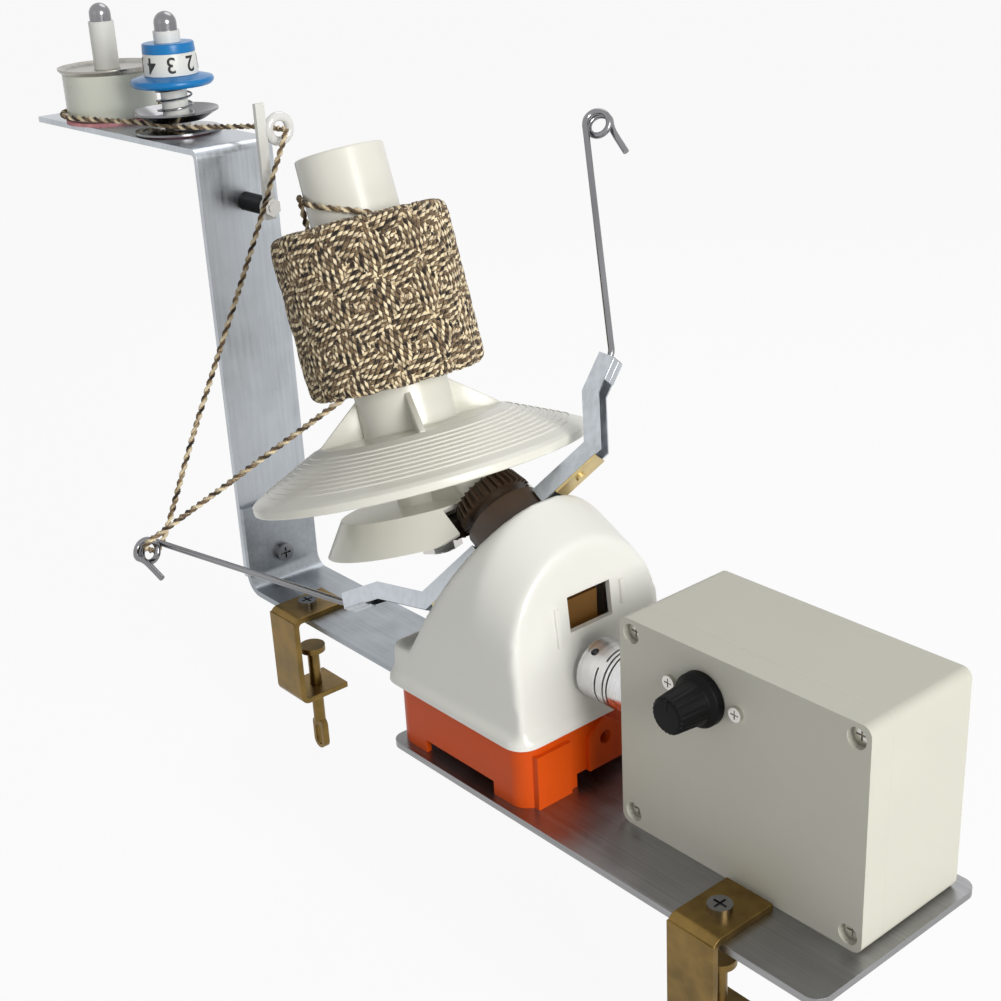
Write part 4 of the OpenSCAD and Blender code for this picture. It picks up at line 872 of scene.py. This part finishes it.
ball_route = [wound_point(k / BALL_STEPS) for k in range(BALL_STEPS)]
ball_mesh = swept(ball_route, round_rim(STRAND_D, 6), closed=True)
ball = add_piece("yarn_ball_winding", ball_mesh, "yarn", "spool", ["yarn_ball"], finish="yarn_wound",
                 sharp=180.0)
# The dark core under the winding is painted shade: it darkens the gaps between the strands.
shade_core_side = BALL_MID_R - BALL_INSET
shade_core_corners = [(SHADE_CORE_R, low + SHADE_CORE_INSET, 0), (shade_core_side, low + SHADE_CORE_INSET, BALL_CORNER - 1),
                (shade_core_side, high - SHADE_CORE_INSET, BALL_CORNER - 1), (SHADE_CORE_R, high - SHADE_CORE_INSET, 0)]
shade_core_mesh = mesh_from(turned(shade_core_corners, spool_place, 64))
add_piece("yarn_ball_shade_core", shade_core_mesh, "yarn", "spool", finish="yarn_gap_shade")
print("ball of", round(route_length(ball_route), 2), "m,", len(ball.data.polygons), "faces")

# %% [markdown]
# ## The tail on the tube
# The start of the yarn leaves the top of the ball, rises across the front of the tube, and drops back
# behind it. Each stop is an angle round the spool's axis, a distance from it and a height.

# %% Tail
tail_stops = [(352, 23.6, 95.2), (340, 22.2, 98.6), (320, 21.6, 101.5), (295, 21.3, 104.8),
              (270, 21.1, 108.0), (250, 21.0, 110.8), (238, 21.0, 112.2), (229, 21.2, 110.5),
              (222, 21.9, 104.5), (216, 22.8, 98.5), (211, 24.0, 95.0)]
tail_points = [spool_point(radius, math.radians(angle), rise) for angle, radius, rise in tail_stops]
tail_route = smooth_route(tail_points, ROUTE_STEP)
tail_mesh = swept(tail_route, two_plies(YARN_D), PLY_PITCH)
add_piece("yarn_tail_strand", tail_mesh, "yarn", "spool", ["yarn_tail"], sharp=180.0)
print("tail", round(route_length(tail_route), 3), "m")

# %% [markdown]
# ## The hood
# The hood is a moulded shell with soft edges everywhere. Bevelling every edge of a loft with so many
# changing angles is fragile, so the outside is built rough from bridged arches and blocks, turned
# into even voxels, and smoothed: that rounds the corners and fills the inner ones as a mould does.
# The shell gets its wall afterwards, and the window and the holes are cut last, so they stay crisp.
# Two small ribs stand beside the window.

# %% Hood
HOOD_LOW = 31.0
HOOD_WALL = 2.5
HOOD_VOXEL = 1.3
HOOD_SMOOTHING = 10
LOFT_LOW = HOOD_LOW - 4
LOFT_SEGMENTS = 96
FRONT_BEHIND = -14.5
FACE_FOOT = Vector((-33.2, 0, HOOD_LOW))
FACE_TOP = Vector((-41.5, 0, 110))
RIB_W = 2.2
RIB_PROUD = 1.2
RIB_DEEP = 1.5
RIB_EDGE = 0.4


def arch_point(turn, half, spring, crown, foot_half):
    if turn >= 0:
        return half * math.cos(turn), spring + (crown - spring) * math.sin(turn)
    side = 1.0 if turn > -math.pi / 2 else -1.0
    part = -turn if side > 0 else math.pi + turn
    if part <= math.pi / 4:
        drop = part / (math.pi / 4)
        return side * (half + (foot_half - half) * drop), spring + (LOFT_LOW - spring) * drop
    return side * foot_half * (math.pi / 2 - part) / (math.pi / 4), LOFT_LOW


def lofted(slices):
    shape = bmesh.new()
    last = None
    for x, half, spring, crown, foot_half in slices:
        circle = bmesh.ops.create_circle(shape, segments=LOFT_SEGMENTS, radius=1.0)
        ring = circle["verts"]
        for v in ring:
            y, z = arch_point(math.atan2(v.co.y, v.co.x), half, spring, crown, foot_half)
            v.co = Vector((x, y, z)) * MM
        edges = list({e for v in ring for e in v.link_edges})
        if last:
            bmesh.ops.bridge_loops(shape, edges=last + edges)
        last = edges
    cap_holes(shape)
    face_outwards(shape)
    return shape


def block(low_corner, high_corner, corner=0.0):
    shape = bmesh.new()
    bmesh.ops.create_cube(shape, size=1.0)
    low_corner, high_corner = Vector(low_corner), Vector(high_corner)
    span = high_corner - low_corner
    bmesh.ops.scale(shape, vec=span * MM, verts=shape.verts)
    bmesh.ops.translate(shape, vec=0.5 * MM * (low_corner + high_corner), verts=shape.verts)
    if corner:
        upright = [e for e in shape.edges
                   if abs(e.verts[0].co.z - e.verts[1].co.z) > 0.5 * span.z * MM]
        round_edges(shape, upright, corner, 6)
    return shape


def stick(diameter, length, place):
    shape = bmesh.new()
    radius = 0.5 * diameter * MM
    bmesh.ops.create_cone(shape, cap_ends=True, segments=64, radius1=radius, radius2=radius,
                          depth=length * MM)
    bmesh.ops.translate(shape, vec=(0, 0, 0.5 * length * MM), verts=shape.verts)
    return moved(shape, place)


def combined(mesh, tools, operation):
    for shape in tools:
        tool = new_object("tool", mesh_from(shape))
        mesh = modified(mesh, "BOOLEAN", operation=operation, solver="EXACT", object=tool)
        bpy.data.objects.remove(tool)
    return mesh


dome = lofted([(-121, 40.5, 60, 118, 40.5), (-61, 40.5, 70, 118, 40.5), (-28, 40.0, 62, 97, 40.5)])
face_up = (FACE_TOP - FACE_FOOT).normalized()
face_way = (FACE_TOP - FACE_FOOT).cross(ACROSS).normalized()
face_way *= 1.0 if face_way.x > 0 else -1.0
front_point = flyer_place @ (Vector((0, 0, FRONT_BEHIND)) * MM)
for point, way in ((FACE_FOOT * MM, face_way), (front_point, flyer_place.col[2].to_3d())):
    plane_cut(dome, point, way, clear_outer=True)
    cap_holes(dome)
lip = block((-121.5, -44.5, 27), (-30.5, 44.5, 34.6), 9)
shoulder = block((-120, -40.5, 27), (-95, 40.5, 47), 6)
solid = combined(mesh_from(dome), [lip, shoulder], "UNION")
shell = bmesh.new()
shell.from_mesh(modified(solid, "REMESH", mode="VOXEL", voxel_size=HOOD_VOXEL * MM))
for k in range(HOOD_SMOOTHING):
    bmesh.ops.smooth_vert(shell, verts=shell.verts, factor=0.5, use_axis_x=True, use_axis_y=True,
                          use_axis_z=True)
plane_cut(shell, (0, 0, HOOD_LOW * MM), (0, 0, 1), clear_inner=True)
face_outwards(shell)
walled = modified(mesh_from(shell), "SOLIDIFY", thickness=HOOD_WALL * MM, offset=-1.0)
window = block((-60, -10, 70), (0, 13, 85))
coupling_place = Matrix.Translation(Vector((-50, 0, 53)) * MM) @ turn_about("Y", 90)
coupling_hole = stick(14, 40, coupling_place)
shaft_hole = stick(24, 30, flyer_place @ Matrix.Translation(Vector((0, 0, -20.5)) * MM))
hood_mesh = combined(walled, [window, coupling_hole, shaft_hole], "DIFFERENCE")
hood = add_piece("hood_moulding", hood_mesh, "ivory_plastic", "frame", ["hood"], finish="hood_white",
                 sharp=50.0)
ribs = bmesh.new()
for side, rib_low, rib_high in ((-16.5, 66.0, 82.5), (19.0, 73.0, 83.5)):
    share = (rib_low - FACE_FOOT.z) / (FACE_TOP.z - FACE_FOOT.z)
    foot = FACE_FOOT + (FACE_TOP - FACE_FOOT) * share + side * ACROSS
    rib = block((-RIB_DEEP, -RIB_W / 2, 0), (RIB_PROUD, RIB_W / 2, rib_high - rib_low))
    round_edges(rib, rib.edges[:], RIB_EDGE)
    moved(rib, Matrix.Translation(foot * MM) @ from_axes(face_way, ACROSS, face_up))
    face_outwards(rib)
    join_in(ribs, rib)
add_piece("hood_ribs", mesh_from(ribs), "ivory_plastic", "frame", finish="hood_white")
print("hood faces", len(hood.data.polygons))

# %% [markdown]
# ## Softened edges on the hard pieces
# No real edge is perfectly sharp: bent strip and moulded boxes have a small radius that catches a
# line of light. A copy of each listed imported piece is merged, its flat faces are joined, and its
# sharp edges bevelled. The widths are in millimetres.

# %% Softened pieces
CAD_MERGE = 2e-6
FLAT_ANGLE = math.radians(0.5)
SHARP_ANGLE = math.radians(35.0)
EDGE_WIDTHS = {
    "base_plate": 0.4, "post": 0.5, "post_foot": 0.5, "left_clamp_frame": 0.5,
    "right_clamp_frame": 0.5, "left_clamp_screw": 0.5, "right_clamp_screw": 0.5,
    "enclosure_body": 0.8, "enclosure_lid": 0.8, "winder_base": 0.8, "spool_housing": 0.8,
    "upper_arm": 0.35, "lower_arm": 0.35, "arm_plates": 0.25, "guide_bar": 0.4, "coupling": 0.3,
    "wheel_flange": 0.2, "guide_wheel": 0.3,
}
for node, width in EDGE_WIDTHS.items():
    shape = bmesh.new()
    shape.from_mesh(frame["nodes"][node].data)
    bmesh.ops.remove_doubles(shape, verts=shape.verts, dist=CAD_MERGE)
    bmesh.ops.dissolve_limit(shape, angle_limit=FLAT_ANGLE, verts=shape.verts, edges=shape.edges)
    sharp = [e for e in shape.edges if e.is_manifold and e.calc_face_angle(0.0) > SHARP_ANGLE]
    round_edges(shape, sharp, width, 2, clamp_overlap=True)
    face_outwards(shape)
    piece = add_piece(node + "_edged", mesh_from(shape), slot_of[node], body_of[node], [node],
                      finish=OWN_FINISH.get(node))
    even = piece.modifiers.new("even_shading", "WEIGHTED_NORMAL")
    even.keep_sharp = True
    print(piece.name, len(piece.data.polygons))

# %% [markdown]
# ## Wire guides and the spring
# The guides are one bent wire each, with a pigtail at the end that the yarn can be slipped into. They
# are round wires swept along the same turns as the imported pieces, only finer. Two wings of the arm's
# channel are folded over each wire's end and crimp it fast.

# %% Wire guides and spring
WIRE_D = 2.8 * MM
WIRE_STEP = 1.0 * MM
PIGTAIL_R = 5.0
PIGTAIL_STOPS = 18
PIGTAIL_RISE = 0.35
ARM_TURN = 39.8
CHANNEL_WAY = Vector((15, 0, 7)).normalized()
wire_start = Vector((77.6, 0, 19.4))
wire_end = Vector((133, 0, 105.6))
wire_way = (wire_end - wire_start).normalized()
wire_side = Vector((wire_way.z, 0, -wire_way.x))
pigtail = wire_end + PIGTAIL_R * wire_side
wire_stops = [wire_start + reach * CHANNEL_WAY for reach in (-11, -5, -1.2)]
wire_stops += [wire_start + reach * wire_way for reach in (1.2, 5, 14)]
wire_stops += [(wire_start + wire_end) / 2, wire_end - 12 * wire_way, wire_end - 3 * wire_way]
for k in range(PIGTAIL_STOPS):
    turn = math.radians(30 * k)
    wire_stops.append(pigtail - PIGTAIL_R * math.cos(turn) * wire_side
                      + PIGTAIL_R * math.sin(turn) * wire_way + PIGTAIL_RISE * k * ACROSS)
wire_stops += [pigtail + PIGTAIL_R * wire_side - 3 * wire_way + 6.4 * ACROSS,
               pigtail + (PIGTAIL_R + 4.5) * wire_side - 14 * wire_way + 6.6 * ACROSS]
arm_places = {"upper": flyer_place @ turn_about("Z", ARM_TURN),
              "lower": flyer_place @ turn_about("Z", ARM_TURN + 180)}
for arm, place in arm_places.items():
    route = smooth_route([place @ (p * MM) for p in wire_stops], WIRE_STEP)
    add_piece(arm + "_wire_rod", swept(route, round_rim(WIRE_D)), "bright_steel", "flyer",
              [arm + "_wire"], finish="dark_steel")

CRIMP_L = 10.0
CRIMP_BACK = 0.2
CRIMP_T = 1.1
CRIMP_LOW = 2.8
CRIMP_EDGE = 0.4
SEAM_HALF = 0.35
ARM_HALF = 5.25
arm_end = Vector((76, 0, 18))
open_way = Vector((CHANNEL_WAY.z, 0, -CHANNEL_WAY.x))
crimp_stand = Matrix.Translation(arm_end * MM) @ from_axes(CHANNEL_WAY, ACROSS, open_way)
for arm, place in arm_places.items():
    crimp = bmesh.new()
    for side_low, side_high in ((-ARM_HALF, -SEAM_HALF), (SEAM_HALF, ARM_HALF)):
        wing = block((-CRIMP_L, side_low, CRIMP_LOW), (-CRIMP_BACK, side_high, CRIMP_LOW + CRIMP_T))
        round_edges(wing, wing.edges[:], CRIMP_EDGE)
        join_in(crimp, wing)
    moved(crimp, place @ crimp_stand)
    face_outwards(crimp)
    add_piece(arm + "_arm_crimp", mesh_from(crimp), "zinc_strip", "flyer")

SPRING_TURNS = 3
SPRING_R = 8.6 * MM
SPRING_WIRE_D = 1.0 * MM
SPRING_END = 0.6 * MM
STEPS_A_TURN = 48
spring_low, spring_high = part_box("tension_spring")
spring_mid = (spring_low + spring_high) / 2
spring_steps = STEPS_A_TURN * SPRING_TURNS
spring_span = spring_high.z - spring_low.z - 2 * SPRING_END
spring_route = []
for k in range(spring_steps + 1):
    turn = math.tau * k / STEPS_A_TURN
    rise = spring_low.z + SPRING_END + spring_span * k / spring_steps
    spring_route.append(Vector((spring_mid.x + SPRING_R * math.cos(turn),
                                spring_mid.y + SPRING_R * math.sin(turn), rise)))
spring_mesh = swept(spring_route, round_rim(SPRING_WIRE_D, 8))
add_piece("tension_spring_coil", spring_mesh, "bright_steel", "frame", ["tension_spring"],
          finish="dark_steel")
print("wires and spring swept")

# %% [markdown]
# ## The tension dial
# The dial is a blue spool-shaped grip with a white band that carries the numbers. The numbers are
# text turned into flat meshes and bent round the band; seen from the front they stand on their heads,
# because the scale is read from above.

# %% Dial
dial_low, dial_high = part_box("tension_dial")
dial_mid = (dial_low + dial_high) / 2
dial_place = Matrix.Translation((dial_mid.x, dial_mid.y, dial_low.z))
DIAL_R = (dial_high.x - dial_low.x) / 2 / MM
DIAL_H = (dial_high.z - dial_low.z) / MM
DIAL_BORE_R = 6.6
BAND_R = 0.65 * DIAL_R
BAND_LOW = 5.4
BAND_HIGH = DIAL_H - 4.7
BAND_TAPER = 0.6
band_top_r = BAND_R - BAND_TAPER
grip_corners = [(DIAL_BORE_R, 0, 0), (DIAL_R - 1.6, 0, 1.0), (DIAL_R, 1.7, 1.4),
                (DIAL_R - 0.5, 3.6, 1.2), (BAND_R + 1.2, BAND_LOW - 0.4, 0.6),
                (BAND_R - 0.9, BAND_LOW, 0), (band_top_r - 0.9, BAND_HIGH, 0),
                (band_top_r + 0.15, BAND_HIGH, 0.3), (band_top_r - 0.2, DIAL_H, 0.8),
                (DIAL_BORE_R, DIAL_H, 0)]
band_corners = [(BAND_R - 1.6, BAND_LOW, 0), (BAND_R, BAND_LOW, 0.2), (band_top_r, BAND_HIGH, 0.2),
                (band_top_r - 1.4, BAND_HIGH, 0)]
add_piece("dial_grip", mesh_from(turned(grip_corners, dial_place)), "blue_plastic", "tension_dial",
          ["tension_dial"])
add_piece("dial_band", mesh_from(turned(band_corners, dial_place)), "white_plastic", "tension_dial")

DIGIT_H = 7.4
DIGIT_SHARE = 0.7
DIGIT_PROUD = 0.2
DIGIT_THICKER = 0.07
DIGIT_STEP = math.radians(45.0)
FACING = math.radians(-27.0)
FACING_DIGIT = 3
SLICE_W = 0.5
SLICES = 8
band_middle = (BAND_LOW + BAND_HIGH) / 2
digits = bmesh.new()
for number in range(1, 9):
    text = bpy.data.curves.new("digit", "FONT")
    text.body = str(number)
    text.size = DIGIT_H / DIGIT_SHARE * MM
    text.align_x = "CENTER"
    text.extrude = DIGIT_PROUD * MM
    text.offset = DIGIT_THICKER * MM
    flat = evaluated(new_object("digit", text))
    bpy.data.curves.remove(text)
    digit = bmesh.new()
    digit.from_mesh(flat)
    bpy.data.meshes.remove(flat)
    bmesh.ops.remove_doubles(digit, verts=digit.verts, dist=MERGE)
    for k in range(-SLICES, SLICES + 1):
        plane_cut(digit, (SLICE_W * k * MM, 0, 0), (1, 0, 0))
    turn = FACING - DIGIT_STEP * (number - FACING_DIGIT)
    for v in digit.verts:
        rise = band_middle - (v.co.y / MM - DIGIT_H / 2)
        taper = BAND_TAPER * (rise - BAND_LOW) / (BAND_HIGH - BAND_LOW)
        reach = BAND_R - taper + v.co.z / MM
        angle = turn - v.co.x / (BAND_R * MM)
        v.co = dial_place @ (Vector((reach * math.cos(angle), reach * math.sin(angle), rise)) * MM)
    join_in(digits, digit)
face_outwards(digits)
add_piece("dial_digits", mesh_from(digits), "black_plastic", "tension_dial", finish="digit_ink")
print("dial radius", round(DIAL_R, 1), "mm, height", round(DIAL_H, 1), "mm")

# %% [markdown]
# ## The speed knob
# The knob is turned from a section with a wide skirt, and its grip is fluted by pulling two of every
# four columns of vertices inwards. A raised line shows where it points.

# %% Knob
KNOB_STEPS = 96
FLUTE_LOW = 6
FLUTE_MIN_R = 6.3
FLUTE_PULL = 0.94
knob_place = Matrix.Translation(Vector((39.2, -16.8, 75)) * MM) @ turn_about("X", 90)
knob_corners = [(0, 0, 0), (10.5, 0, 0.4), (10.5, 3.6, 0.8), (8.4, 5.4, 0.8), (7.2, 18.2, 0.8),
                (6.0, 19, 0.4), (0, 19, 0)]
knob_shape = turned(knob_corners, Matrix.Identity(4), KNOB_STEPS)
for v in knob_shape.verts:
    radius = math.hypot(v.co.x, v.co.y) / MM
    column = round(math.atan2(v.co.y, v.co.x) / math.tau * KNOB_STEPS) % 4
    if v.co.z > FLUTE_LOW * MM and radius > FLUTE_MIN_R and column < 2:
        v.co.x *= FLUTE_PULL
        v.co.y *= FLUTE_PULL
knob_mesh = mesh_from(moved(knob_shape, knob_place))
add_piece("speed_knob_grip", knob_mesh, "black_plastic", "speed_knob", ["speed_knob"], sharp=30.0)
pointer = block((-0.6, 2.5, 18.6), (0.6, 6.6, 19.15))
add_piece("speed_knob_pointer", mesh_from(moved(pointer, knob_place)), "black_plastic", "speed_knob")
print("knob done")
